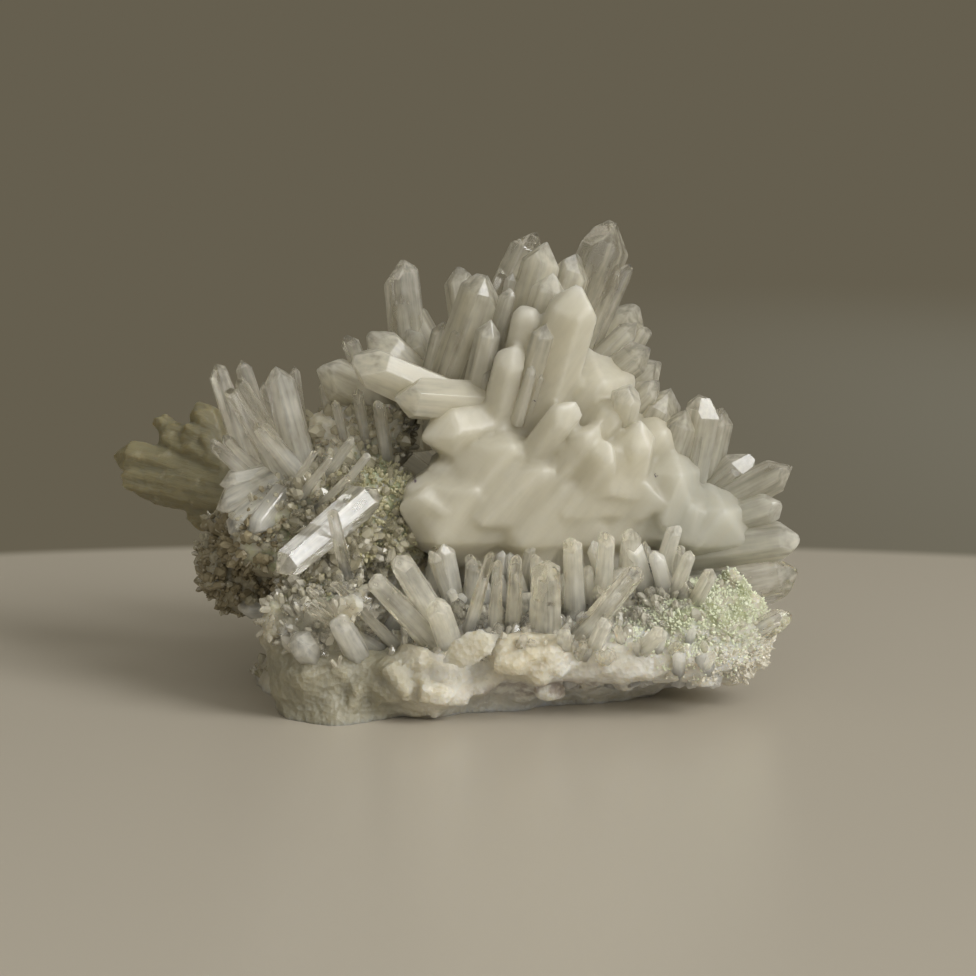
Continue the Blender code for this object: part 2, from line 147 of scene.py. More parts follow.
LEFT_TUFT = [
    ((-24.5, 40.0, -3), (-29.0, 57.5, -3), 4.2, 0.3),
    ((-32.0, 38.5, -2), (-38.6, 58.0, -3), 3.4, 0.15),
    ((-29.0, 40.0, 0), (-34.5, 58.5, 2), 2.6, 0.2),
    ((-27.5, 39.0, -4), (-36.5, 54.0, -6), 2.6, 0.1),
    ((-26.0, 41.0, -2), (-35.0, 55.5, -3), 2.4, 0.1),
    ((-24.0, 40.0, 0), (-26.0, 57.5, 1), 2.0, 0.2),
    ((-25.0, 40.0, -5), (-32.0, 48.5, -7), 2.8, 0.2),
    ((-26.0, 41.0, 0), (-31.0, 55.0, 0), 2.2, 0.2),
    ((-30.5, 37.5, -4), (-39.5, 45.5, -6), 2.2, 0.2),
    ((-30.0, 39.0, -3), (-37.5, 46.5, -4), 2.0, 0.2),
    ((-29.0, 39.5, -4), (-38.6, 34.5, -7), 4.6, 0.4),
    ((-29.0, 37.5, -5), (-36.5, 30.5, -9), 4.4, 0.5),
    ((-29.0, 40.5, -3), (-38.0, 38.5, -6), 3.8, 0.4),
    ((-27.5, 37.0, -6), (-32.5, 30.5, -11), 4.4, 0.5),
]
OLIVE_BLOCK = [
    ((-33.0, 38.0, 22), (-55.0, 43.5, 32), 7.6, 0.8),
    ((-33.0, 35.5, 20), (-52.5, 39.5, 29), 7.2, 0.8),
    ((-34.0, 36.0, 23), (-41.5, 52.0, 30), 6.0, 0.8),
    ((-33.5, 38.5, 23), (-48.0, 48.0, 32), 6.6, 0.8),
    ((-31.5, 36.0, 19), (-43.0, 33.0, 25), 6.4, 0.9),
]
LYING_CRYSTAL = [((-13.0, 38.0, -12), (-29.0, 24.5, -24.5), 4.6, 0.25)]
CROSSING_NEEDLE = [((-17.2, 22.5, -11), (-20.0, 34.5, -25), 1.9, 0.3)]
PAIRED_BLADES = [
    ((-1.5, 14.0, -15), (-9.5, 27.0, -26), 3.8, 0.3),
    ((-2.5, 12.0, -15), (-13.5, 23.5, -27), 3.4, 0.2),
]
VALLEY_PRISM = [((14.2, 10.0, -15), (14.5, 26.5, -25), 4.8, 0.15)]
LEANING_ROD = [((17.0, 11.0, -16), (29.3, 25.3, -26), 3.2, 0.15)]
LOW_RIGHT_CRYSTAL = [((34.0, 20.5, -3), (54.5, 24.8, -5), 7.6, 0.2)]
CORNER_CRYSTAL = [((37.0, 9.0, -10), (53.3, 18.0, -12), 3.8, 0.1)]
CRUST_CRYSTALS = [
    ((-12.0, 12.0, -15), (-24.5, 19.5, -27), 2.6, 0.2),
    ((-15.0, 14.0, -15), (-24.0, 22.0, -28), 1.6, 0.2),
    ((-10.0, 13.0, -15), (-20.0, 23.0, -27), 1.8, 0.2),
    ((2.0, 15.0, -15), (5.5, 27.5, -24), 2.2, 0.1),
    ((6.0, 14.0, -15), (6.5, 26.5, -24), 2.4, 0.1),
    ((9.0, 13.0, -15), (9.5, 27.0, -24), 3.0, 0.2),
    ((19.0, 18.0, -12), (18.5, 30.0, -20), 4.2, 0.4),
    ((23.0, 18.0, -10), (24.0, 31.0, -19), 4.0, 0.4),
    ((27.0, 18.0, -8), (28.0, 31.5, -17), 4.0, 0.4),
    ((30.0, 16.0, -8), (35.0, 32.0, -15), 3.6, 0.6),
    ((32.0, 14.0, -8), (37.5, 28.0, -17), 3.4, 0.5),
    ((34.0, 12.0, -8), (41.0, 25.0, -17), 3.4, 0.5),
    ((26.0, 8.0, -14), (33.0, 15.5, -26), 3.4, 0.6),
    ((20.0, 8.0, -14), (24.0, 17.0, -27), 3.2, 0.6),
    ((38.0, 10.0, -8), (47.5, 12.5, -15), 3.2, 0.5),
    ((0.0, 10.0, -14), (-3.5, 20.0, -26), 4.6, 0.6),
    ((-14.0, 8.0, -12), (-19.0, 17.0, -27), 5.0, 0.7),
    ((-20.0, 8.0, -10), (-25.5, 14.0, -25), 5.6, 0.7),
    ((-30.0, 26.0, 6), (-40.5, 27.0, 4), 4.6, 0.6),
    ((-32.0, 23.0, 8), (-42.0, 26.0, 12), 4.6, 0.6),
    ((-27.0, 19.0, 4), (-35.0, 18.5, 2), 4.6, 0.6),
    ((-24.0, 33.0, -9), (-17.0, 40.0, -16), 1.6, 0.3),
    ((-22.0, 32.0, -8), (-17.0, 38.5, -13), 1.4, 0.3),
    ((-26.0, 35.0, -8), (-20.0, 43.0, -14), 1.7, 0.4),
    ((-20.0, 36.0, -9), (-14.0, 43.5, -14), 1.9, 0.5),
    ((-23.0, 37.0, -6), (-16.5, 46.0, -11), 2.1, 0.5),
    ((-27.0, 37.0, -7), (-22.5, 44.0, -13), 1.5, 0.3),
    ((-14.0, 43.0, -1), (-16.0, 54.0, -6), 2.2, 0.3),
    ((-17.0, 42.0, -1), (-19.5, 52.0, -5), 2.0, 0.3),
    ((-11.0, 42.0, -2), (-12.5, 52.0, -8), 2.4, 0.4),
    ((-19.0, 44.0, 2), (-21.5, 55.0, 0), 2.2, 0.4),
]

# How far some crystals are turned about their length, in degrees, for a side to catch the light.
SPINS = {"lying_crystal": 22.5, "standing_crystal": -19.3}

# Thin flakes lie on the front of the crust: root, tip, width and thickness.
FLAKES = [
    ((-2.5, 10.0, -24.5), (7.0, 14.6, -26.5), 5.0, 1.6),
    ((-19.6, 16.5, -25.0), (-15.0, 20.8, -26.0), 3.6, 1.2),
]

# Rows of hazy crystals, one in the hollow of the front valley under the milky mass and one of low
# teeth along the rim: the first and last place across, how far apart they stand, the height and
# depth of their roots and tips, how much the tips' heights stray, and their widths.
ROWS = [
    ((-8.0, 38.0, 1.0), (15.0, -7.0), (27.0, -14.0), (-9.0, 3.0), (1.5, 3.2)),
    ((17.0, 41.0, 1.0), (7.0, -15.0), (13.5, -22.0), (-2.5, 2.5), (1.2, 2.4)),
]

# The crystals of the hidden back fan out from these places, in rows: how many degrees a row rises,
# how many crystals it has and how long they are.
BACK_FANS = [
    ((8.0, 34.0, 14), [(10, 7, 25.0), (32, 6, 27.0)]),
    ((10.0, 48.0, 8), [(34, 5, 23.0), (56, 4, 25.0), (76, 2, 24.0)]),
]
BACK_WIDTHS = (4.6, 7.4)
BACK_SWEEP = (15.0, 165.0)
BACK_STRAY = 6.0
BACK_ROOTS = Vector((10.0, 4.0))
BACK_LENGTHS = (0.82, 1.1)
BACK_HAZE = (0.3, 0.8)

# The milky mass of the spray and the lumps of the crust: the middle as a seen place, and the half
# sizes along X, Y and Z.
SPRAY_HEART = [
    ((9.0, 38.0, -3), (18.0, 13.0, 10.0)),
    ((-3.0, 34.0, -4), (8.5, 9.0, 7.0)),
    ((20.0, 45.0, 0), (13.0, 12.5, 12.0)),
    ((4.0, 49.5, 2), (11.0, 9.0, 8.5)),
    ((34.0, 37.0, -4), (5.5, 8.5, 9.0)),
    ((26.0, 33.5, -3), (9.0, 9.0, 7.5)),
    ((40.0, 32.5, -3), (8.5, 8.5, 6.5)),
    ((8.0, 32.0, 14), (18.0, 13.0, 13.0)),
    ((14.0, 27.0, -2), (20.0, 9.0, 8.0)),
    ((21.0, 40.0, -3), (15.0, 12.0, 12.0)),
    ((6.0, 42.0, -3), (11.0, 12.0, 9.0)),
    ((0.0, 34.5, -7), (11.0, 8.0, 9.5)),
    ((14.0, 34.5, -6), (14.0, 8.5, 10.5)),
    ((10.0, 55.0, 0), (8.5, 6.5, 10.0)),
    ((21.0, 52.0, -2), (8.5, 8.5, 8.5)),
    ((31.0, 45.0, -2), (6.5, 6.5, 6.0)),
]
CRUST_LUMPS = [
    ((-22.0, 12.0, -10), (9.0, 12.0, 13.5)),
    ((-19.0, 2.0, -14), (10.0, 8.5, 5.0)),
    ((-27.0, 31.0, -2), (10.5, 10.0, 9.0)),
    ((-16.0, 33.0, -3), (12.0, 8.5, 10.0)),
    ((-18.0, 31.5, -9), (6.0, 5.0, 6.0)),
    ((-15.0, 46.0, 4), (8.0, 8.0, 8.0)),
    ((-32.0, 26.0, 12), (9.0, 12.0, 9.0)),
    ((-29.0, 34.0, 19), (8.0, 8.0, 8.0)),
    ((10.0, 14.5, 4), (34.0, 22.0, 11.0)),
    ((-6.0, 8.0, -15), (14.0, 8.0, 6.0)),
    ((24.0, 11.0, -14), (23.0, 8.5, 5.0)),
    ((36.0, 16.5, -6), (14.0, 12.0, 8.0)),
    ((11.5, 12.0, -19), (8.0, 5.5, 4.5)),
    ((26.0, 10.5, -18), (12.0, 5.0, 4.5)),
    ((44.0, 13.5, -8), (7.5, 8.0, 6.5)),
    ((1.0, 20.0, 14), (34.0, 20.0, 14.0)),
    ((-4.0, 7.0, 10), (30.0, 26.0, 9.0)),
    ((16.0, 5.0, 8), (16.0, 17.0, 6.0)),
]

# Blocky crystals break through the front of the milky mass: how they spread from its centre, in
# degrees, and how far they stand proud.
MASS_CENTRE = (16.0, 38.0, 6)
MASS_CRYSTALS = 150
MASS_SWEEP = (-190.0, 20.0)
MASS_HEIGHTS = (-45.0, 60.0)
MASS_PROUD = (0.0, 1.8)
MASS_FLATTEN = (0.0, 0.5)
MASS_STRAY = 0.3
MASS_WIDTHS = (4.0, 10.0)
MASS_SUNK = 0.4

# Small dark specks in the milky mass and in the prism in the valley: the middle as a seen place,
# and the half sizes.
MASS_SPECKS = [
    ((31.8, 40.2, -8), (0.3, 12.0, 0.35)),
    ((12.3, 52.0, -8), (0.3, 12.0, 0.25)),
    ((-6.8, 39.2, -10), (0.4, 12.0, 0.3)),
]
PRISM_SPECKS = [((12.9, 19.8, -24), (0.5, 4.0, 0.3)), ((15.2, 19.4, -24), (0.9, 4.0, 0.4))]

# The crust's relief in the solids: broad swells and sharp small lumps.
SWELL = 1.6
SWELL_SIZE = 9.0
LUMP_RISE = 2.2
LUMP_SIZE = 6.0
LUMP_LEVEL = 0.4

# Blunt crystals are sunk in the crust all over: how many, how far they stand proud and how wide.
CRUST_BLOCKS = 600
BLOCK_PROUD = (0.0, 1.1)
BLOCK_WIDTHS = (1.4, 3.6)

# Where small crystals cover the crust: the middle as a seen place, the half sizes, how many, their
# lengths, and how hazy they are.
DRUSE_BEDS = {
    "front_druse": [
        ((-19, 20, -16), (12, 10, 9), 420, (1.6, 4.6), (0.2, 0.7)),
        ((8, 20, -14), (18, 10, 9), 700, (1.5, 4.2), (0.1, 0.6)),
        ((28, 21, -10), (12, 10, 9), 420, (1.5, 4.0), (0.2, 0.6)),
        ((41, 12, -12), (12, 10, 6), 240, (0.8, 2.2), (0.5, 0.9)),
    ],
    "left_druse": [
        ((-24, 36, -6), (12, 8, 9), 400, (1.4, 4.5), (0.1, 0.6)),
        ((-14, 48, 4), (11, 11, 9), 320, (1.4, 4.5), (0.2, 0.7)),
        ((-18, 28, -14), (12, 8, 8), 400, (1.4, 5.0), (0.1, 0.6)),
    ],
    "flank_druse": [
        ((-33, 27, 0), (12, 14, 12), 800, (1.2, 3.8), (0.3, 0.8)),
    ],
    "green_druse": [
        ((36, 19, -12), (15, 12, 10), 3600, (0.4, 1.1), (0.4, 0.9)),
    ],
    "olive_druse": [
        ((-11, 36, -8), (10, 9, 11), 1100, (0.6, 1.8), (0.4, 0.9)),
        ((-20, 27, -14), (10, 8, 8), 500, (0.6, 1.8), (0.4, 0.9)),
    ],
    "back_druse": [
        ((5, 18, 20), (52, 26, 24), 1500, (1.4, 4.6), (0.2, 0.8)),
        ((-30, 34, 20), (14, 16, 16), 700, (1.2, 3.4), (0.3, 0.8)),
    ],
}


def seen(across, up, back):
    """The place that shows `across` and `up` in the front view and lies `back` behind the origin."""
    sight = Vector((across - EYE.x, VIEW_DISTANCE, up - VIEW_MIDDLE_UP))
    sight.rotate(Matrix.Rotation(-EYE_TILT, 3, "X"))
    return EYE + sight * ((back - EYE.y) / sight.y)


class QuartzSettings(bpy.types.PropertyGroup):
    milk: FloatVectorProperty(
        name="Milk", description="Colour of the milky quartz", subtype="COLOR", size=3,
        default=(0.585, 0.55, 0.44),
    )
    green_milk: FloatVectorProperty(
        name="Green milk", description="Colour of the milky lobe on the right", subtype="COLOR",
        size=3, default=(0.48, 0.47, 0.40),
    )
    olive: FloatVectorProperty(
        name="Olive", description="Colour of the olive crystals", subtype="COLOR", size=3,
        default=(0.32, 0.285, 0.165),
    )
    edge: FloatProperty(
        name="Edge", description="Width of the worn edges of the crystals, in millimetres",
        default=0.16, min=0.0, max=0.5,
    )
    scatter_depth: FloatProperty(
        name="Scatter depth", description="How far light wanders in the milky quartz",
        default=0.013, unit="LENGTH",
    )
    mass_voxel: FloatProperty(
        name="Mass detail", description="Grain of the milky mass, in millimetres", default=0.5,
    )


class CrustSettings(bpy.types.PropertyGroup):
    pale: FloatVectorProperty(
        name="Pale rock", description="Colour of the clean quartz crust", subtype="COLOR", size=3,
        default=(0.78, 0.745, 0.64),
    )
    dark: FloatVectorProperty(
        name="Dark rock", description="Colour of the dull rock", subtype="COLOR", size=3,
        default=(0.58, 0.53, 0.40),
    )
    chlorite: FloatVectorProperty(
        name="Chlorite", description="Colour of the green mineral", subtype="COLOR", size=3,
        default=(0.42, 0.44, 0.25),
    )
    voxel: FloatProperty(
        name="Rock detail", description="Grain of the rock mesh, in millimetres", default=0.55,
    )
    seed: IntProperty(name="Seed", description="Changes where small crystals stand", default=7)


class StageSettings(bpy.types.PropertyGroup):
    floor: FloatVectorProperty(
        name="Floor", description="Colour of the pale floor", subtype="COLOR", size=3,
        default=(0.56, 0.51, 0.42),
    )
    surround: FloatVectorProperty(
        name="Surround", description="Muted tone behind and around the floor", subtype="COLOR",
        size=3, default=(0.131, 0.114, 0.078),
    )
    ceiling: FloatVectorProperty(
        name="Ceiling", description="Tone of the light from overhead", subtype="COLOR", size=3,
        default=(0.30, 0.29, 0.26),
    )
    key: FloatProperty(name="Key light", description="Power of the large soft light", default=28.0)
    fill: FloatProperty(
        name="Room light", description="Power of the wide light of the room", default=8.0,
    )


class Wire:
    """A socket that carries a number. Arithmetic on it adds the Math nodes."""

    def __init__(self, finish, socket):
        self.finish, self.socket = finish, socket

    def maths(self, operation, first, second, clamp=False):
        settings = {"operation": operation, "use_clamp": clamp}
        return self.finish.add("ShaderNodeMath", settings, {0: first, 1: second})

    def __add__(self, other):
        return self.maths("ADD", self, other)

    def __radd__(self, other):
        return self.maths("ADD", other, self)

    def __sub__(self, other):
        return self.maths("SUBTRACT", self, other)

    def __rsub__(self, other):
        return self.maths("SUBTRACT", other, self)

    def __mul__(self, other):
        return self.maths("MULTIPLY", self, other)

    def __rmul__(self, other):
        return self.maths("MULTIPLY", other, self)

    def clamped(self):
        return self.maths("ADD", self, 0.0, clamp=True)


class Finish:
    """A material that is built node by node."""

    def __init__(self, name):
        self.material = bpy.data.materials.new(name)
        self.material.use_nodes = True
        self.tree = self.material.node_tree
        self.tree.nodes.clear()
        self.place = self.add("ShaderNodeTexCoord", output="Object")

    def add(self, kind, settings=None, inputs=None, output=0):
        node = self.tree.nodes.new(kind)
        for name, value in (settings or {}).items():
            setattr(node, name, value)
        for name, value in (inputs or {}).items():
            if isinstance(value, Wire):
                self.tree.links.new(value.socket, node.inputs[name])
            else:
                node.inputs[name].default_value = value
        return Wire(self, node.outputs[output])

    def attribute(self, name):
        return self.add("ShaderNodeAttribute", {"attribute_name": name}, output="Fac")

    def noise(self, size, detail=2.0, roughness=0.5, distortion=0.0):
        """Cloudy noise, from 0 to 1, with features of a size in millimetres."""
        return self.add(
            "ShaderNodeTexNoise",
            inputs={
                "Vector": self.place, "Scale": 1 / (size * MILLIMETRE), "Detail": detail,
                "Roughness": roughness, "Distortion": distortion,
            },
        )

    def lines(self, along, size, detail=2.0):
        """Noise in bands along a number in millimetres."""
        return self.add(
            "ShaderNodeTexNoise",
            {"noise_dimensions": "1D"},
            {"W": along, "Scale": 1 / size, "Detail": detail},
        )

    def streaks(self, heading, size, stretch=8.0):
        """Noise drawn out along a heading, with features of a size in millimetres across it."""
        along = self.add(
            "ShaderNodeVectorMath",
            {"operation": "DOT_PRODUCT"},
            {0: self.place, 1: heading.normalized()},
            "Value",
        )
        drawn = self.add(
            "ShaderNodeVectorMath",
            {"operation": "SCALE"},
            {0: heading.normalized(), "Scale": along * (1 / stretch - 1)},
        )
        place = self.add("ShaderNodeVectorMath", {"operation": "ADD"}, {0: self.place, 1: drawn})
        return self.add(
            "ShaderNodeTexNoise",
            inputs={"Vector": place, "Scale": 1 / (size * MILLIMETRE), "Detail": 3.0},
        )

    def cells(self, size, feature="F1"):
        """Distance to the nearest of scattered points, in cells of a size in millimetres."""
        return self.add(
            "ShaderNodeTexVoronoi",
            {"feature": feature},
            {"Vector": self.place, "Scale": 1 / (size * MILLIMETRE)},
            output="Distance",
        )

    def step(self, value, low, high):
        return self.add(
            "ShaderNodeMapRange",
            {"interpolation_type": "SMOOTHSTEP"},
            {"Value": value, "From Min": low, "From Max": high},
        )

    def near(self, middle, half):
        """1 within an oval round a seen place, falling to 0 outside it."""
        offset = self.add(
            "ShaderNodeVectorMath",
            {"operation": "SUBTRACT"},
            {0: self.place, 1: seen(*middle) * MILLIMETRE},
        )
        share = self.add(
            "ShaderNodeVectorMath",
            {"operation": "DIVIDE"},
            {0: offset, 1: Vector(half) * MILLIMETRE},
        )
        far = self.add("ShaderNodeVectorMath", {"operation": "LENGTH"}, {0: share}, "Value")
        return self.step(far, 1.25, 0.6)

    def mixed(self, mask, first, second):
        """A colour that goes from first to second as the mask goes from 0 to 1."""
        first, second = [v if isinstance(v, Wire) else (*v, 1.0) for v in (first, second)]
        return self.add(
            "ShaderNodeMix", {"data_type": "RGBA"}, {"Factor": mask, 6: first, 7: second}, 2
        )

    def bump(self, height, distance):
        return self.add(
            "ShaderNodeBump", inputs={"Height": height, "Distance": distance * MILLIMETRE}
        )

    def shader(self, colour, **inputs):
        names = {name.replace("_", " "): value for name, value in inputs.items()}
        colour = colour if isinstance(colour, Wire) else (*colour, 1.0)
        return self.add("ShaderNodeBsdfPrincipled", inputs={"Base Color": colour, **names})

    def done(self, surface, volume=None):
        inputs = {"Surface": surface}
        if volume:
            inputs["Volume"] = volume
        output = self.tree.nodes.new("ShaderNodeOutputMaterial")
        for name, wire in inputs.items():
            self.tree.links.new(wire.socket, output.inputs[name])
        return self.material


def quartz_finish(name, milk, other_milk, where, stain, density, depth, veil, specks):
    """Clear quartz that turns milky with its haze, with growth lines across its sides."""
    finish = Finish(name)
    haze = finish.attribute("haze")
    rise = finish.attribute("rise")
    cloud = finish.noise(5.0, detail=3.0)
    lines = finish.lines(rise, 0.55, detail=3.0)
    drawn = finish.add(
        "ShaderNodeCombineXYZ",
        inputs={
            0: finish.attribute("side") * (1 / STREAK_WIDTH),
            1: finish.attribute("back") * (1 / STREAK_WIDTH),
            2: rise * (1 / STREAK_LENGTH),
        },
    )
    streak = finish.add("ShaderNodeTexNoise", inputs={"Vector": drawn, "Scale": 1.0, "Detail": 3.0})
    relief = lines * 0.4 + streak * 0.6
    colour = finish.mixed(where(finish), milk, other_milk)
    veiled = finish.step(streak * 0.6 + cloud * 0.4, 0.4, 0.65)
    colour = finish.mixed(veiled * 0.5, colour, [c * 0.86 for c in milk])
    ragged = finish.step(finish.noise(0.5, detail=1.0), 0.42, 0.56)
    for middle, half in specks:
        colour = finish.mixed(finish.near(middle, half) * ragged, colour, (0.12, 0.09, 0.12))
    clear = finish.shader(
        (1.0, 1.0, 1.0), Roughness=0.0, IOR=QUARTZ_IOR, Transmission_Weight=1.0,
        Normal=finish.bump(relief, 0.004),
    )
    milky = finish.shader(
        colour, Roughness=0.3, IOR=QUARTZ_IOR, Specular_IOR_Level=0.3,
        Subsurface_Weight=1.0, Subsurface_Radius=(1.0, 1.0, 1.0), Subsurface_Scale=depth,
        Normal=finish.bump(relief, 0.03),
    )
    veils = streak * 0.6 + cloud * 0.4
    share = finish.step(veils + haze * 0.8, 0.5, 1.15) * (1 - veil) + veil
    inside = finish.add("ShaderNodeNewGeometry", output="Backfacing")
    surface = finish.add("ShaderNodeMixShader", inputs={0: share * (1.0 - inside), 1: clear, 2: milky})
    glow = finish.add("ShaderNodeBsdfTranslucent", inputs={"Color": (*milk, 1.0)})
    wall = (finish.step(haze, 0.1, 0.6) * 0.82 + 0.18) * inside
    surface = finish.add("ShaderNodeMixShader", inputs={0: wall, 1: surface, 2: glow})
    volume = finish.add(
        "ShaderNodeVolumeAbsorption", inputs={"Color": (*stain, 1.0), "Density": density}
    )
    return finish.done(surface, volume)


def olive_finish(settings):
    """Dull olive quartz in coarse parallel columns, with darker streaks between them."""
    finish = Finish("olive_quartz_finish")
    heading = seen(-52.0, 42.0, 30) - seen(-33.0, 37.0, 21)
    streak = finish.streaks(heading, 1.3)
    fine = finish.streaks(heading, 0.5)
    cloud = finish.noise(5.0, detail=3.0)
    mottle = (streak * 0.6 + cloud * 0.7 - 0.2).clamped()
    colour = finish.mixed(mottle, [c * 0.55 for c in settings.olive], settings.olive)
    pale = finish.step(finish.noise(3.0, detail=4.0), 0.56, 0.72)
    colour = finish.mixed(pale * 0.5, colour, (0.50, 0.45, 0.31))
    surface = finish.shader(
        colour, Roughness=0.45, IOR=QUARTZ_IOR, Subsurface_Weight=1.0,
        Subsurface_Radius=(1.0, 0.8, 0.45), Subsurface_Scale=0.003,
        Normal=finish.bump(streak * 0.6 + fine * 0.4, 0.5),
    )
    return finish.done(surface)


def small_quartz_finish(name, pale, dark, share_clear):
    """Small crystals: partly see-through, with the tone of what they grow on."""
    finish = Finish(name)
    tone = finish.attribute("tone")
    cloud = finish.noise(6.0, detail=3.0)
    colour = finish.mixed((tone * 0.5 + (cloud - 0.3) * 1.2).clamped(), dark, pale)
    dense = finish.shader(colour, Roughness=0.25, IOR=QUARTZ_IOR)
    if not share_clear:
        return finish.done(dense)
    clear = finish.shader(
        (1.0, 1.0, 1.0), Roughness=0.0, IOR=QUARTZ_IOR, Transmission_Weight=1.0
    )
    outside = 1.0 - finish.add("ShaderNodeNewGeometry", output="Backfacing")
    share = (finish.attribute("haze") + (1 - share_clear - 0.5)).clamped() * outside
    return finish.done(finish.add("ShaderNodeMixShader", inputs={0: share, 1: clear, 2: dense}))


def rock_finish(settings):
    """The crust: dull cloudy quartz, paler along the rim, with chlorite in its hollows, and painted shade on its left
    side and under the front rim.
    """
    finish = Finish("crust_rock")
    cloud = finish.noise(10.0, detail=5.0, roughness=0.6)
    mottle = finish.noise(2.4, detail=4.0, roughness=0.6)
    grain = finish.cells(0.9)
    pale_rim = finish.near((24, 9, -18), (30, 12, 9))
    # Greyer rock at the front left, darkened further as painted shade of the left side, away from the light.
    grey_shaded_left = finish.near((-20, 8, -16), (14, 16, 12))
    # Painted shade: the left flank, which lies in shadow, is painted dark.
    shaded_flank_mask = finish.near((-35, 26, 12), (16, 24, 18))
    colour = finish.mixed(finish.step(cloud * 0.6 + mottle * 0.4, 0.35, 0.68), settings.dark, settings.pale)
    colour = finish.mixed(pale_rim * 0.7, colour, (0.74, 0.72, 0.65))
    colour = finish.mixed(grey_shaded_left * 0.85, colour, (0.29, 0.27, 0.19))
    colour = finish.mixed(shaded_flank_mask * 0.7, colour, (0.24, 0.20, 0.11))
    for middle, half in (
        ((39, 21, -10), (12, 14, 9)),
        ((-11, 36, -8), (11, 10, 12)),
        ((-22, 27, -12), (12, 12, 9)),
    ):
        green = finish.near(middle, half) * finish.step(mottle, 0.35, 0.6)
        colour = finish.mixed(green, colour, settings.chlorite)
    yellow = finish.near((10, 12, -22), (6, 6, 7))
    colour = finish.mixed(yellow * 0.8, colour, (0.64, 0.58, 0.43))
    # Painted shade: a ragged dark brownish band under the overhang of the front rim.
    underside_shade = finish.near((16, 5, -20), (14, 8, 2.6))
    colour = finish.mixed(underside_shade * finish.step(mottle, 0.4, 0.6), colour, (0.38, 0.33, 0.28))
    relief = mottle * 0.5 + grain * 0.5
    surface = finish.shader(
        colour, Roughness=finish.step(mottle, 0.2, 0.8) * 0.3 + 0.35, IOR=QUARTZ_IOR,
        Subsurface_Weight=1.0, Subsurface_Radius=(1.0, 0.9, 0.7), Subsurface_Scale=0.003,
        Normal=finish.bump(relief, 0.6),
    )
    return finish.done(surface)


def cut(bm, point, normal):
    """Cuts away what lies beyond a plane, and closes the cut."""
    everything = bm.verts[:] + bm.edges[:] + bm.faces[:]
    bmesh.ops.bisect_plane(
        bm, geom=everything, dist=1e-4, plane_co=point, plane_no=normal, clear_outer=True
    )
    rim = [edge for edge in bm.edges if edge.is_boundary]
    if rim:
        bmesh.ops.edgeloop_fill(bm, edges=rim)


def crystal(length, width, chance, edge=0.0, both_ends=False, spin=0.0):
    """One crystal along +Z from the origin: a prism of uneven sides, cut to a point at its tip."""
    bm = bmesh.new()
    bmesh.ops.create_cone(
        bm,
        cap_ends=True,
        segments=2 * SIDES,
        radius1=BLANK * width,
        radius2=BLANK * width,
        depth=length,
        matrix=Matrix.Translation((0, 0, length / 2)),
    )
    turn = chance.uniform(0, math.tau / SIDES) + math.radians(spin)
    taper = math.radians(chance.uniform(*TAPER_DEGREES))
    up = Vector((0, 0, 1))
    for side in range(SIDES):
        angle = turn + side * math.tau / SIDES
        out = Vector((math.cos(angle), math.sin(angle), 0))
        reach = width / 2 * chance.uniform(*UNEVEN_SIDES)
        late = width * chance.choice(LATE_FACES)
        cut(bm, out * reach + up * length / 2, out * math.cos(taper) + up * math.sin(taper))
        cut(bm, up * (length + late), out * math.cos(POINT_SLOPE) + up * math.sin(POINT_SLOPE))
        if both_ends:
            cut(bm, -up * late, out * math.cos(POINT_SLOPE) - up * math.sin(POINT_SLOPE))
    if edge:
        bmesh.ops.bevel(
            bm, geom=bm.edges[:], offset=min(edge, width / 12), segments=1, affect="EDGES",
            clamp_overlap=True,
        )
    bmesh.ops.recalc_face_normals(bm, faces=bm.faces[:])
    if bm.calc_volume(signed=True) < 0:
        bmesh.ops.reverse_faces(bm, faces=bm.faces[:])
    return bm


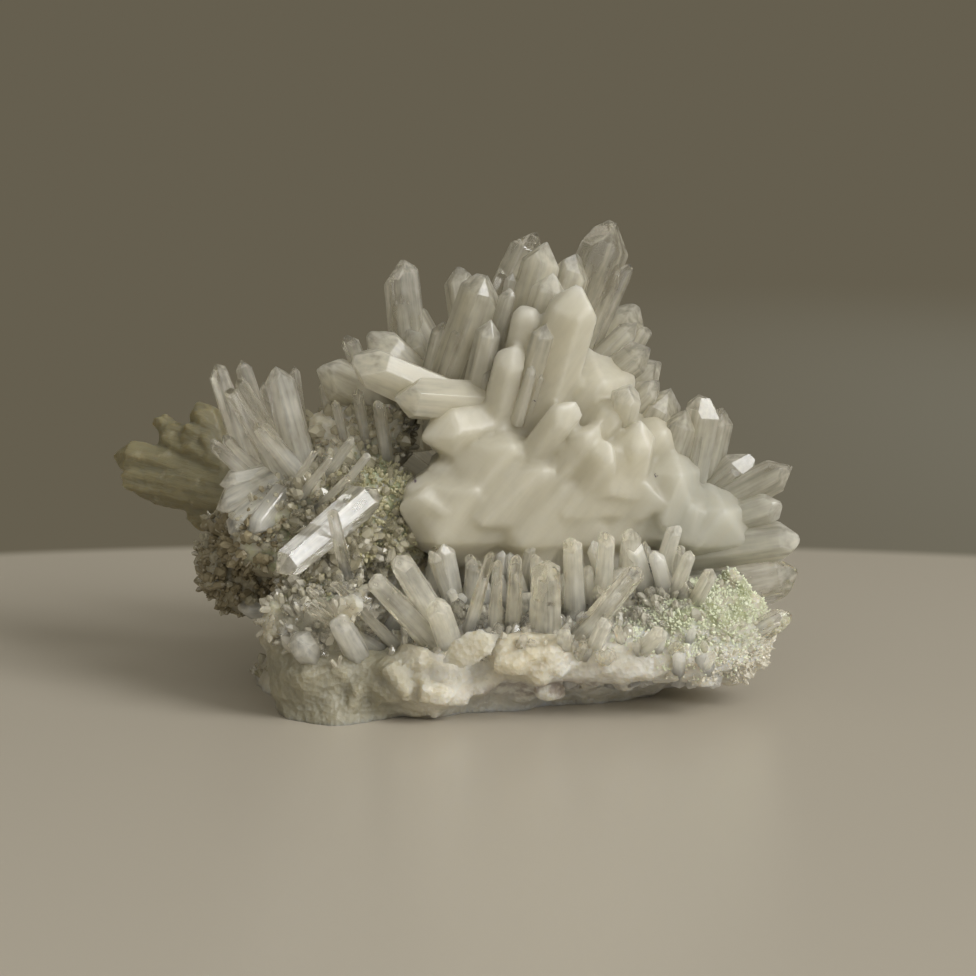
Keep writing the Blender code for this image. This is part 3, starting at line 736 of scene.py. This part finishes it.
class Growth:
    """Crystals, and lumps between them, that are fused into one shell.

    Every corner of the shell carries the haze, the place in its crystal (across it, back and up
    along it) and the tone that the finishes read.
    """

    def __init__(self):
        self.meshes, self.facts, self.smooth = [], [], []

    def add(self, bm, root, aim, length, haze, tone, smooth=False):
        """Adds a closed form. haze is its haze at the root and at the tip."""
        mark = bm.faces.layers.int.new("source")
        for face in bm.faces:
            face[mark] = len(self.meshes)
        self.meshes.append(mesh_of(bm))
        self.facts.append((*root, *aim, length, *haze, tone))
        self.smooth.append(smooth)

    def grow(self, root, tip, width, chance, haze, edge, both_ends=False, spin=0.0):
        length = (tip - root).length
        bm = crystal(length, width, chance, edge, both_ends, spin)
        aim = (tip - root).to_track_quat("Z", "Y").to_matrix().to_4x4()
        bm.transform(Matrix.Translation(root) @ aim)
        self.add(bm, root, (tip - root).normalized(), length, haze, chance.random())

    def fused(self, name):
        """All forms as one mesh in metres."""
        things = []
        group = bpy.data.collections.new("forms")
        for mesh in self.meshes:
            thing = bpy.data.objects.new("form", mesh)
            things.append(thing)
            if len(things) > 1:
                group.objects.link(thing)
        bpy.context.scene.collection.objects.link(things[0])
        if len(things) > 1:
            join = things[0].modifiers.new("join", "BOOLEAN")
            join.operation, join.operand_type, join.solver = "UNION", "COLLECTION", "MANIFOLD"
            join.collection = group
        bpy.context.scene.collection.children.link(group)
        evaluated = things[0].evaluated_get(bpy.context.evaluated_depsgraph_get())
        mesh = bpy.data.meshes.new_from_object(evaluated)
        mesh.name = name
        for thing in things:
            bpy.data.objects.remove(thing)
        for form in self.meshes:
            bpy.data.meshes.remove(form)
        bpy.data.collections.remove(group)
        if not len(mesh.polygons):
            raise RuntimeError(f"{name}: the forms didn't fuse")
        self.mark(mesh)
        mesh.transform(Matrix.Scale(MILLIMETRE, 4))
        return mesh

    def mark(self, mesh):
        """Gives each corner the facts of the crystal that its face came from."""
        source = np.zeros(len(mesh.polygons), np.int32)
        mesh.attributes["source"].data.foreach_get("value", source)
        counts = np.zeros(len(mesh.polygons), np.int32)
        mesh.polygons.foreach_get("loop_total", counts)
        mesh.polygons.foreach_set("use_smooth", np.array(self.smooth)[source])
        corners = np.zeros(len(mesh.loops), np.int32)
        mesh.loops.foreach_get("vertex_index", corners)
        facts = np.array(self.facts)[np.repeat(source, counts)]
        offset = coordinates(mesh)[corners] - facts[:, 0:3]
        axis = facts[:, 3:6]
        rise = (offset * axis).sum(axis=1)
        side = np.cross(axis, (0.0, 1.0, 0.0))
        side /= np.linalg.norm(side, axis=1)[:, None]
        share = np.clip(rise / facts[:, 6], 0, 1)
        values = {
            "haze": facts[:, 7] + (facts[:, 8] - facts[:, 7]) * np.sqrt(share),
            "rise": rise,
            "tone": facts[:, 9],
            "side": (offset * side).sum(axis=1),
            "back": (offset * np.cross(axis, side)).sum(axis=1),
        }
        for key, value in values.items():
            data = mesh.attributes.new(key, "FLOAT", "CORNER").data
            data.foreach_set("value", value.astype(np.float32))
        mesh.attributes.remove(mesh.attributes["source"])


def listed(name, specs):
    """The root, tip, width, chance and tip haze of each crystal in a list."""
    for number, (root, tip, width, haze) in enumerate(specs):
        yield seen(*root), seen(*tip), width, random.Random(f"{name} {number}"), haze


def back_fan():
    """The same of the crystals of the hidden back, fanned out in rows."""
    chance = random.Random("back fan")
    first, last = BACK_SWEEP
    for heart, rows in BACK_FANS:
        for rise, count, length in rows:
            for step in range(count):
                bearing = first + (last - first) * (step + 0.5) / count
                turn = math.radians(bearing + chance.uniform(-BACK_STRAY, BACK_STRAY))
                tilt = math.radians(rise + chance.uniform(-BACK_STRAY, BACK_STRAY))
                heading = Vector((math.cos(turn), math.sin(turn), 0))
                aim = heading * math.cos(tilt) + Vector((0, 0, math.sin(tilt)))
                root = seen(*heart) + heading * Vector((*BACK_ROOTS, 0))
                width = chance.uniform(*BACK_WIDTHS)
                tip = root + aim * length * chance.uniform(*BACK_LENGTHS)
                yield root, tip, width, chance, 0.55


def rows():
    """The root, tip, width and haze of each crystal of the rows."""
    chance = random.Random("rows")
    for (across, last, apart), root, tip, stray, widths in ROWS:
        while across < last:
            lean = chance.uniform(-0.5, 0.5) * (tip[0] - root[0])
            start = (across - lean, root[0], root[1] + chance.uniform(-2.0, 2.0))
            end = (across, tip[0] + chance.uniform(*stray), tip[1] + chance.uniform(-2.5, 2.5))
            yield start, end, chance.uniform(*widths), chance.uniform(0.2, 0.7)
            across += apart * chance.uniform(0.7, 1.3)


def companions(root, tip, width, number):
    """Smaller crystals that have grown along the side of a large one."""
    chance = random.Random(f"companion {number}")
    axis = (tip - root).normalized()
    for _ in range(chance.choice((0, 1, 2, 2, 3))):
        small = width * chance.uniform(0.3, 0.55)
        side = axis.orthogonal().normalized()
        side.rotate(Matrix.Rotation(chance.uniform(0, math.tau), 3, axis))
        start = root + side * (width * 0.46 - small * 0.1)
        lean = side * chance.uniform(-0.04, 0.06) + axis
        yield start, start + lean * (tip - root).length * chance.uniform(0.5, 0.88), small, chance


def put(name, mesh, material, replaces=(), smooth=False):
    """Puts a finished piece in the scene, on the body that it rides on."""
    piece = bpy.data.objects.new(name, mesh)
    bpy.context.scene.collection.objects.link(piece)
    mesh.materials.clear()
    mesh.materials.append(material)
    if smooth:
        mesh.shade_smooth()
    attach(piece, "root")
    if replaces:
        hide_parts(*replaces)
    return piece


def bunch(name, specs, root_haze, edge):
    """A bunch of crystals as one shell."""
    growth = Growth()
    both_ends, spin = name == "lying_crystal", SPINS.get(name, 0.0)
    for root, tip, width, chance, haze in listed(name, specs):
        growth.grow(root, tip, width, chance, (root_haze, haze), edge, both_ends, spin)
    return growth.fused(name)


def modified(mesh, *steps):
    """A mesh after modifiers: each step is a kind and its settings."""
    thing = bpy.data.objects.new("work", mesh)
    bpy.context.scene.collection.objects.link(thing)
    for kind, settings in steps:
        step = thing.modifiers.new(kind, kind)
        for name, value in settings.items():
            setattr(step, name, value)
    evaluated = thing.evaluated_get(bpy.context.evaluated_depsgraph_get())
    result = bpy.data.meshes.new_from_object(evaluated)
    bpy.data.objects.remove(thing)
    bpy.data.meshes.remove(mesh)
    return result


def lumps(specs, subdivisions=4):
    """Oval lumps gathered into one bmesh."""
    bm = bmesh.new()
    for middle, half in specs:
        size = Matrix.Diagonal((*half, 1))
        bmesh.ops.create_icosphere(
            bm, subdivisions=subdivisions, radius=1, matrix=Matrix.Translation(seen(*middle)) @ size
        )
    return bm


def mesh_of(bm):
    mesh = bpy.data.meshes.new("form")
    bm.to_mesh(mesh)
    bm.free()
    return mesh


def coordinates(mesh):
    places = np.zeros(len(mesh.vertices) * 3, np.float32)
    mesh.vertices.foreach_get("co", places)
    return places.reshape(-1, 3)


def displaced(mesh, height):
    """Moves each point of a mesh out along its normal by the height there."""
    places = coordinates(mesh)
    normals = np.zeros(len(mesh.vertices) * 3, np.float32)
    mesh.vertices.foreach_get("normal", normals)
    heights = np.array([height(Vector(place)) for place in places], np.float32)
    places += normals.reshape(-1, 3) * heights[:, None]
    mesh.vertices.foreach_set("co", places.ravel())
    mesh.update()
    return mesh


def voxels(size):
    return "REMESH", {"mode": "VOXEL", "voxel_size": size, "adaptivity": 0.0}


def mass(hearts, crystals, voxel, softness, rough):
    """A dense middle, run together from blunt lumps and crystals and softened, as a bmesh."""
    bm = lumps(hearts, 1)
    for root, tip, width, chance, _ in crystals:
        form = crystal((tip - root).length, width, chance)
        aim = (tip - root).to_track_quat("Z", "Y").to_matrix().to_4x4()
        form.transform(Matrix.Translation(root) @ aim)
        mesh = mesh_of(form)
        bm.from_mesh(mesh)
        bpy.data.meshes.remove(mesh)
    soften = "SMOOTH", {"factor": 0.5, "iterations": softness}

    def height(point):
        return rough * (noise.noise(point / 4.0) * 2 + noise.noise(point / 1.4))

    mesh = displaced(modified(mesh_of(bm), voxels(voxel), soften), height)
    bm = bmesh.new()
    bm.from_mesh(mesh)
    bpy.data.meshes.remove(mesh)
    return bm


def mass_crystals():
    """Blocky crystals that break through the front of the milky mass: as listed() gives them."""
    chance = random.Random("mass")
    centre = seen(*MASS_CENTRE)
    sizes = [half[0] * half[2] for _, half in SPRAY_HEART]
    for _ in range(MASS_CRYSTALS):
        middle, half = chance.choices(SPRAY_HEART, sizes)[0]
        bearing = math.radians(chance.uniform(*MASS_SWEEP))
        height = math.radians(chance.uniform(*MASS_HEIGHTS))
        out = Vector((math.cos(bearing), math.sin(bearing), 0)) * math.cos(height)
        out.z = math.sin(height)
        width = chance.uniform(*MASS_WIDTHS)
        place = seen(*middle) + out * Vector(half) - out * width * MASS_SUNK
        buried = [
            sum(((p - m) / h) ** 2 for p, m, h in zip(place, seen(*other), size)) < 0.9
            for other, size in SPRAY_HEART
            if other != middle
        ]
        heading = out + (place - centre).normalized() * 1.4
        heading *= Vector((1.0, chance.uniform(*MASS_FLATTEN), 1.0))
        heading += Vector([chance.uniform(-MASS_STRAY, MASS_STRAY) for _ in range(3)])
        heading.normalize()
        tip = place + heading * chance.uniform(*MASS_PROUD)
        length = chance.uniform(12.0, 20.0)
        if not any(buried):
            yield tip - heading * length, tip, width, chance, 0.95


def crust_mesh(settings):
    """The lumps of the crust run together and roughened, down to its single grains."""
    mesh = modified(mesh_of(lumps(CRUST_LUMPS)), voxels(1.0))

    def broad(point):
        near, next_near = noise.voronoi(point / LUMP_SIZE)[0][:2]
        swell = SWELL * noise.noise(point / SWELL_SIZE)
        return swell + LUMP_RISE * (next_near - near - LUMP_LEVEL)

    def fine(point):
        near, next_near = noise.voronoi(point / 2.6)[0][:2]
        grain_near, grain_next = noise.voronoi(point / 1.1)[0][:2]
        rough = noise.fractal(point / 3.0, 0.8, 2.0, 4)
        return 0.7 * (next_near - near - 0.35) + 0.22 * (grain_next - grain_near) + 0.25 * rough

    mesh = modified(displaced(mesh, broad), voxels(settings.voxel))
    mesh = displaced(mesh, fine)
    chance = random.Random("blocks")
    growth = Growth()
    bm = bmesh.new()
    bm.from_mesh(mesh)
    bm.faces.ensure_lookup_table()
    spots = []
    while len(spots) < CRUST_BLOCKS:
        face = chance.choice(bm.faces)
        if face.normal.z > -0.6:
            spots.append((face.calc_center_median(), face.normal.copy()))
    growth.add(bm, Vector(), Vector((0, 0, 1)), 1.0, (1.0, 1.0), 0.5)
    bpy.data.meshes.remove(mesh)
    for place, normal in spots:
        heading = normal + Vector([chance.uniform(-0.8, 0.8) for _ in range(3)])
        heading.normalize()
        tip = place + heading * chance.uniform(*BLOCK_PROUD)
        root = tip - heading * chance.uniform(5.0, 7.0)
        growth.grow(root, tip, chance.uniform(*BLOCK_WIDTHS), chance, (1.0, 1.0), 0.2)
    for number, (root, tip, width, thick) in enumerate(FLAKES):
        root, tip = seen(*root), seen(*tip)
        bm = crystal((tip - root).length, width, random.Random(f"flake {number}"), 0.2, True)
        bm.transform(Matrix.Diagonal((1, thick / width, 1, 1)))
        aim = (tip - root).to_track_quat("Z", "X").to_matrix().to_4x4()
        bm.transform(Matrix.Translation(root) @ aim)
        growth.add(bm, root, (tip - root).normalized(), 1.0, (1.0, 1.0), 0.5)
    mesh = growth.fused("crust_rock")
    mesh.transform(Matrix.Scale(1 / MILLIMETRE, 4))
    mesh = modified(mesh, voxels(0.6), ("SMOOTH", {"factor": 0.5, "iterations": 1}))
    bm = bmesh.new()
    bm.from_mesh(mesh)
    bpy.data.meshes.remove(mesh)
    cut(bm, Vector((0, 0, 0)), Vector((0, 0, -1)))
    bmesh.ops.recalc_face_normals(bm, faces=bm.faces[:])
    bmesh.ops.scale(bm, vec=Vector((1, 1, 1)) * MILLIMETRE, verts=bm.verts[:])
    return mesh_of(bm)


def triangles(mesh):
    """The corners of a mesh's triangles, in millimetres."""
    mesh.calc_loop_triangles()
    index = np.zeros(len(mesh.loop_triangles) * 3, np.int32)
    mesh.loop_triangles.foreach_get("vertices", index)
    corners = coordinates(mesh)[index].reshape(-1, 3, 3) / MILLIMETRE
    return corners


TEMPLATES = 14


def templates():
    """Small crystals of unit width to copy: their points and faces."""
    shapes = []
    for number in range(TEMPLATES):
        chance = random.Random(f"small crystal {number}")
        length = chance.uniform(1.6, 4.2)
        bm = crystal(length, 1.0, chance)
        bm.verts.index_update()
        points = np.array([vert.co[:] for vert in bm.verts])
        faces = [[vert.index for vert in face.verts] for face in bm.faces]
        bm.free()
        shapes.append((points, faces, length))
    return shapes


def druse(name, surface, beds, seed):
    """Small crystals standing on a surface, thickest in the middle of each bed."""
    rng = np.random.default_rng(seed)
    corners = triangles(surface)
    centres = corners.mean(axis=1)
    across = np.cross(corners[:, 1] - corners[:, 0], corners[:, 2] - corners[:, 0])
    areas = np.linalg.norm(across, axis=1)
    normals = across / np.maximum(areas, 1e-12)[:, None]
    shapes = templates()
    points, faces, haze, rise, tones = [], [], [], [], []
    total = 0
    for middle, half, count, lengths, hazes in beds:
        share = np.linalg.norm((centres - np.array(seen(*middle))) / np.array(half), axis=1)
        weight = areas * np.clip(1.2 - share, 0, 1) * (normals[:, 2] > -0.8)
        if not weight.sum():
            raise RuntimeError(f"{name}: no rock near {middle}")
        picks = rng.choice(len(areas), count, p=weight / weight.sum())
        for pick in picks:
            shape, shape_faces, shape_length = shapes[rng.integers(TEMPLATES)]
            mix = rng.dirichlet((1, 1, 1))
            place = mix @ corners[pick]
            field = Vector(place) / 4.0
            drift = np.array(noise.noise_vector(field))
            aim = normals[pick] + 0.6 * drift + rng.normal(0, 0.22, 3) + (0, 0, 0.15)
            length = rng.uniform(*lengths) * rng.uniform(0.6, 1.0)
            scale = length / shape_length
            chance_sunk = rng.uniform(0.3, 0.65)
            turn = Vector(aim).to_track_quat("Z", "Y").to_matrix()
            turn = np.array(turn @ Matrix.Rotation(rng.uniform(0, math.tau), 3, "Z"))
            moved = (shape * scale) @ turn.T
            moved += place - chance_sunk * length * turn[:, 2]
            if moved[:, 2].min() < 0.1:
                continue
            points.append(moved)
            faces += [[total + corner for corner in face] for face in shape_faces]
            total += len(moved)
            foggy = rng.uniform(*hazes)
            haze += [foggy] * len(moved)
            rise += list(shape[:, 2] * scale)
            tones += [rng.random()] * len(moved)
    mesh = bpy.data.meshes.new(name)
    mesh.from_pydata(np.concatenate(points) * MILLIMETRE, [], faces)
    for key, values in {"haze": haze, "rise": rise, "tone": tones}.items():
        mesh.attributes.new(key, "FLOAT", "POINT").data.foreach_set("value", values)
    return mesh


class QUARTZ_OT_crust(bpy.types.Operator):
    """Builds the crust of rock that the cluster grows from"""

    bl_idname = "quartz.crust"
    bl_label = "Crust"

    def execute(self, context):
        settings = context.scene.crust
        mesh = crust_mesh(settings)
        put("crust_rock", mesh, rock_finish(settings), ["matrix"])
        return {"FINISHED"}


class QUARTZ_OT_druse(bpy.types.Operator):
    """Covers the crust with small crystals"""

    bl_idname = "quartz.druse"
    bl_label = "Druse"

    def execute(self, context):
        settings = context.scene.crust
        rock = bpy.data.objects["crust_rock"].data
        clear = small_quartz_finish("druse_quartz", (0.90, 0.86, 0.74), (0.72, 0.67, 0.53), 0.5)
        olive = small_quartz_finish("olive_druse_quartz", (0.72, 0.68, 0.48), (0.36, 0.33, 0.17), 0.0)
        # Darker druse: painted shade in the left cavity, also used on the hidden back.
        dull = small_quartz_finish("painted_shade_quartz", (0.62, 0.58, 0.45), (0.36, 0.32, 0.20), 0.3)
        # Very dark druse: painted shade on the left flank, which lies in shadow.
        flank = small_quartz_finish("shaded_flank_quartz", (0.34, 0.29, 0.18), (0.17, 0.14, 0.08), 0.0)
        green = small_quartz_finish("green_druse_quartz", (0.98, 1.0, 0.84), (0.72, 0.76, 0.52), 0.0)
        for number, (name, beds) in enumerate(DRUSE_BEDS.items()):
            mesh = druse(name, rock, beds, settings.seed + number)
            finish = {
                "green_druse": green, "left_druse": dull, "back_druse": dull,
                "flank_druse": flank,
                "olive_druse": olive,
            }.get(name, clear)
            put(name, mesh, finish)
        edge = context.scene.quartz.edge
        slim = [(root, tip, width * 0.75, haze * 0.7) for root, tip, width, haze in CRUST_CRYSTALS]
        mesh = bunch("crust", slim, 0.5, edge)
        put("crust_crystals", mesh, bpy.data.materials["clear_quartz_finish"])
        mesh = bunch("rows", rows(), 1.0, edge)
        put("row_crystals", mesh, bpy.data.materials["clear_quartz_finish"])
        return {"FINISHED"}


class QUARTZ_OT_spray(bpy.types.Operator):
    """Grows the main spray: its milky mass and the crystals that stand out of it"""

    bl_idname = "quartz.spray"
    bl_label = "Main spray"

    def execute(self, context):
        settings = context.scene.quartz
        spray = list(listed("main_spray", CROWN + LEFT_FAN + MIDDLE + RIGHT_FAN))
        growth = Growth()
        dense = [each for each in spray if each[-1] > 0.92] + list(mass_crystals())
        growth.add(
            mass(SPRAY_HEART, dense, settings.mass_voxel, 2, 0.05),
            Vector(), Vector((0.6, 0, 0.8)), 1.0, (1.0, 1.0), 0.5, smooth=True,
        )
        spray = list(listed("main_spray", CROWN + LEFT_FAN + MIDDLE + RIGHT_FAN))
        sharp = [each for each in spray if each[-1] < 0.92] + list(back_fan())
        for number, (root, tip, width, chance, haze) in enumerate(sharp):
            growth.grow(root, tip, width, chance, (0.95, haze * 0.65), settings.edge)
            for start, end, small, small_chance in companions(root, tip, width, number):
                growth.grow(start, end, small, small_chance, (0.95, haze * 0.65), settings.edge)
        put(
            "spray_crystals",
            growth.fused("spray_crystals"),
            bpy.data.materials["spray_quartz_finish"],
            ["main_spray"],
        )
        return {"FINISHED"}


class QUARTZ_OT_prisms(bpy.types.Operator):
    """Grows the clear tuft and the single clear prisms"""

    bl_idname = "quartz.prisms"
    bl_label = "Clear prisms"

    def execute(self, context):
        clear = bpy.data.materials["clear_quartz_finish"]
        edge = context.scene.quartz.edge
        for node, piece, specs, root_haze in (
            ("standing_crystal", "standing_prism", STANDING_CRYSTAL, 0.3),
            ("left_tuft", "tuft_prisms", LEFT_TUFT, 0.35),
            ("lying_crystal", "lying_prism", LYING_CRYSTAL, 0.2),
            ("crossing_needle", "needle_prism", CROSSING_NEEDLE, 0.2),
            ("paired_blades", "blade_prisms", PAIRED_BLADES, 0.35),
            ("valley_prism", "middle_prism", VALLEY_PRISM, 0.45),
            ("leaning_rod", "rod_prism", LEANING_ROD, 0.25),
            ("low_right_crystal", "low_right_prism", LOW_RIGHT_CRYSTAL, 0.45),
            ("corner_crystal", "corner_prism", CORNER_CRYSTAL, 0.4),
        ):
            put(piece, bunch(node, specs, root_haze, edge), clear, [node])
        return {"FINISHED"}


def columns(specs, chance):
    """Each crystal as a bundle of thin parallel ones of uneven length."""
    for root, tip, width, haze in specs:
        yield root, tip, width * 0.8, haze
        for _ in range(16):
            shift = Vector([chance.uniform(-0.36, 0.36) * width for _ in range(3)])
            keep = chance.uniform(0.55, 0.97)
            end = Vector(root).lerp(Vector(tip), keep)
            yield Vector(root) + shift, end + shift, width * chance.uniform(0.25, 0.5), haze


class QUARTZ_OT_olive(bpy.types.Operator):
    """Grows the block of olive crystals behind on the left"""

    bl_idname = "quartz.olive"
    bl_label = "Olive block"

    def execute(self, context):
        specs = columns(OLIVE_BLOCK, random.Random("olive columns"))
        mesh = mesh_of(mass([], listed("olive_block", specs), 0.45, 2, 0.2))
        mesh.transform(Matrix.Scale(MILLIMETRE, 4))
        material = bpy.data.materials["olive_quartz_finish"]
        put("olive_crystals", mesh, material, ["olive_block"], smooth=True)
        return {"FINISHED"}


class QUARTZ_OT_finishes(bpy.types.Operator):
    """Makes the finishes that several pieces share"""

    bl_idname = "quartz.finishes"
    bl_label = "Finishes"

    def execute(self, context):
        settings = context.scene.quartz
        depth = settings.scatter_depth

        def right_side(finish):
            return finish.near((42, 32, -4), (14, 22, 16))

        def nowhere(finish):
            return finish.noise(12.0) * 0.4

        quartz_finish(
            "spray_quartz_finish", settings.milk, settings.green_milk, right_side,
            (0.93, 0.91, 0.80), 18.0, depth, 0.05, MASS_SPECKS,
        )
        quartz_finish(
            "clear_quartz_finish", (0.98, 0.93, 0.76), (0.88, 0.81, 0.60), nowhere,
            (0.93, 0.92, 0.84), 12.0, depth, 0.03, PRISM_SPECKS,
        )
        olive_finish(settings)
        return {"FINISHED"}


def dome(settings):
    """The surround near the horizon, brighter overhead like the ceiling of a pale room."""
    world = bpy.data.worlds.new("surround")
    world.use_nodes = True
    nodes, links = world.node_tree.nodes, world.node_tree.links
    place = nodes.new("ShaderNodeTexCoord")
    parts = nodes.new("ShaderNodeSeparateXYZ")
    rise = nodes.new("ShaderNodeMapRange")
    rise.interpolation_type = "SMOOTHSTEP"
    rise.inputs["From Min"].default_value, rise.inputs["From Max"].default_value = 0.3, 0.85
    mix = nodes.new("ShaderNodeMix")
    mix.data_type = "RGBA"
    mix.inputs[6].default_value = (*settings.surround, 1.0)
    mix.inputs[7].default_value = (*settings.ceiling, 1.0)
    links.new(place.outputs["Generated"], parts.inputs["Vector"])
    links.new(parts.outputs["Z"], rise.inputs["Value"])
    links.new(rise.outputs["Result"], mix.inputs["Factor"])
    links.new(mix.outputs[2], nodes["Background"].inputs["Color"])
    return world


class QUARTZ_OT_stage(bpy.types.Operator):
    """Sets the pale floor, the soft lights and the camera"""

    bl_idname = "quartz.stage"
    bl_label = "Stage"

    def execute(self, context):
        settings = context.scene.stage
        scene = context.scene
        finish = Finish("floor")
        split = finish.add("ShaderNodeVectorMath", {"operation": "SUBTRACT"}, {0: finish.place, 1: (0.0, -0.25, 0.0)})
        far = finish.add("ShaderNodeVectorMath", {"operation": "LENGTH"}, {0: split}, "Value")
        beyond = finish.step(far, 0.390, 0.402)
        pale = finish.shader(settings.floor, Roughness=0.32)
        # Beyond the floor the surround glows as an emission. To the right and nearer in, it glows brighter as a
        # painted pool of light.
        parts = finish.add("ShaderNodeSeparateXYZ", inputs={"Vector": finish.place})
        right = finish.step(parts, -0.05, 0.25) * finish.step(far, 1.6, 0.45)
        tone = finish.mixed(right, settings.surround, (0.180, 0.168, 0.128))
        muted = finish.add("ShaderNodeEmission", inputs={"Color": tone, "Strength": 1.0})
        surface = finish.add("ShaderNodeMixShader", inputs={0: beyond, 1: pale, 2: muted})
        bm = bmesh.new()
        bmesh.ops.create_circle(bm, cap_ends=True, segments=96, radius=4.0)
        mesh = mesh_of(bm)
        mesh.materials.append(finish.done(surface))
        floor = bpy.data.objects.new("floor", mesh)
        scene.collection.objects.link(floor)
        floor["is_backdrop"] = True

        scene.world = dome(settings)

        for name, power, size, place in (
            ("key", settings.key * 0.8, 0.8, (1.40, -1.04, 1.00)),
            ("upper_key", settings.key * 0.25, 0.8, (1.12, -0.84, 1.62)),
            ("room", settings.fill, 1.6, (0.0, -1.5, 0.5)),
        ):
            light = bpy.data.lights.new(name, "AREA")
            light.energy, light.size = power, size
            lamp = bpy.data.objects.new(name, light)
            lamp.location = place
            aim = Vector((0, 0, 0.03)) - Vector(place)
            lamp.rotation_euler = aim.to_track_quat("-Z", "Y").to_euler()
            lamp.visible_camera = False
            scene.collection.objects.link(lamp)

        lens = bpy.data.cameras.new("camera")
        lens.lens, lens.clip_start = LENS, 0.01
        camera = bpy.data.objects.new("camera", lens)
        camera.location = EYE * MILLIMETRE
        camera.rotation_euler = (math.pi / 2 - EYE_TILT, 0, 0)
        scene.collection.objects.link(camera)
        scene.camera = camera
        scene.view_settings.view_transform = "Standard"
        scene.cycles.max_bounces = 11
        scene.cycles.diffuse_bounces = 2
        scene.cycles.glossy_bounces = 10
        scene.cycles.transmission_bounces = 10
        scene.cycles.sample_clamp_indirect = 40.0
        return {"FINISHED"}


class QUARTZ_PT_panel(bpy.types.Panel):
    """Lists the steps that build the cluster"""

    bl_label = "Quartz Cluster"
    bl_space_type = "VIEW_3D"
    bl_region_type = "UI"
    bl_category = "Quartz"

    def draw(self, context):
        for group in ("quartz", "crust", "stage"):
            settings = getattr(context.scene, group)
            for name in settings.bl_rna.properties.keys():
                if name not in ("rna_type", "name"):
                    self.layout.prop(settings, name)
        for step in STEPS:
            self.layout.operator(step.bl_idname)


STEPS = (
    QUARTZ_OT_finishes,
    QUARTZ_OT_crust,
    QUARTZ_OT_spray,
    QUARTZ_OT_druse,
    QUARTZ_OT_prisms,
    QUARTZ_OT_olive,
    QUARTZ_OT_stage,
)
GROUPS = {"quartz": QuartzSettings, "crust": CrustSettings, "stage": StageSettings}


def register():
    for group in (*GROUPS.values(), *STEPS, QUARTZ_PT_panel):
        bpy.utils.register_class(group)
    for name, group in GROUPS.items():
        setattr(bpy.types.Scene, name, PointerProperty(type=group))


def unregister():
    for name in GROUPS:
        delattr(bpy.types.Scene, name)
    for group in (QUARTZ_PT_panel, *reversed(STEPS), *GROUPS.values()):
        bpy.utils.unregister_class(group)


def main():
    register()
    bpy.ops.quartz.finishes()
    bpy.ops.quartz.crust()
    bpy.ops.quartz.spray()
    bpy.ops.quartz.druse()
    bpy.ops.quartz.prisms()
    bpy.ops.quartz.olive()
    bpy.ops.quartz.stage()
    boxes = {"cad": cad_box, "visual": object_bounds()}
    {name: [list(corner) for corner in box] for name, box in boxes.items()}


if __name__ == "__main__":
    main()
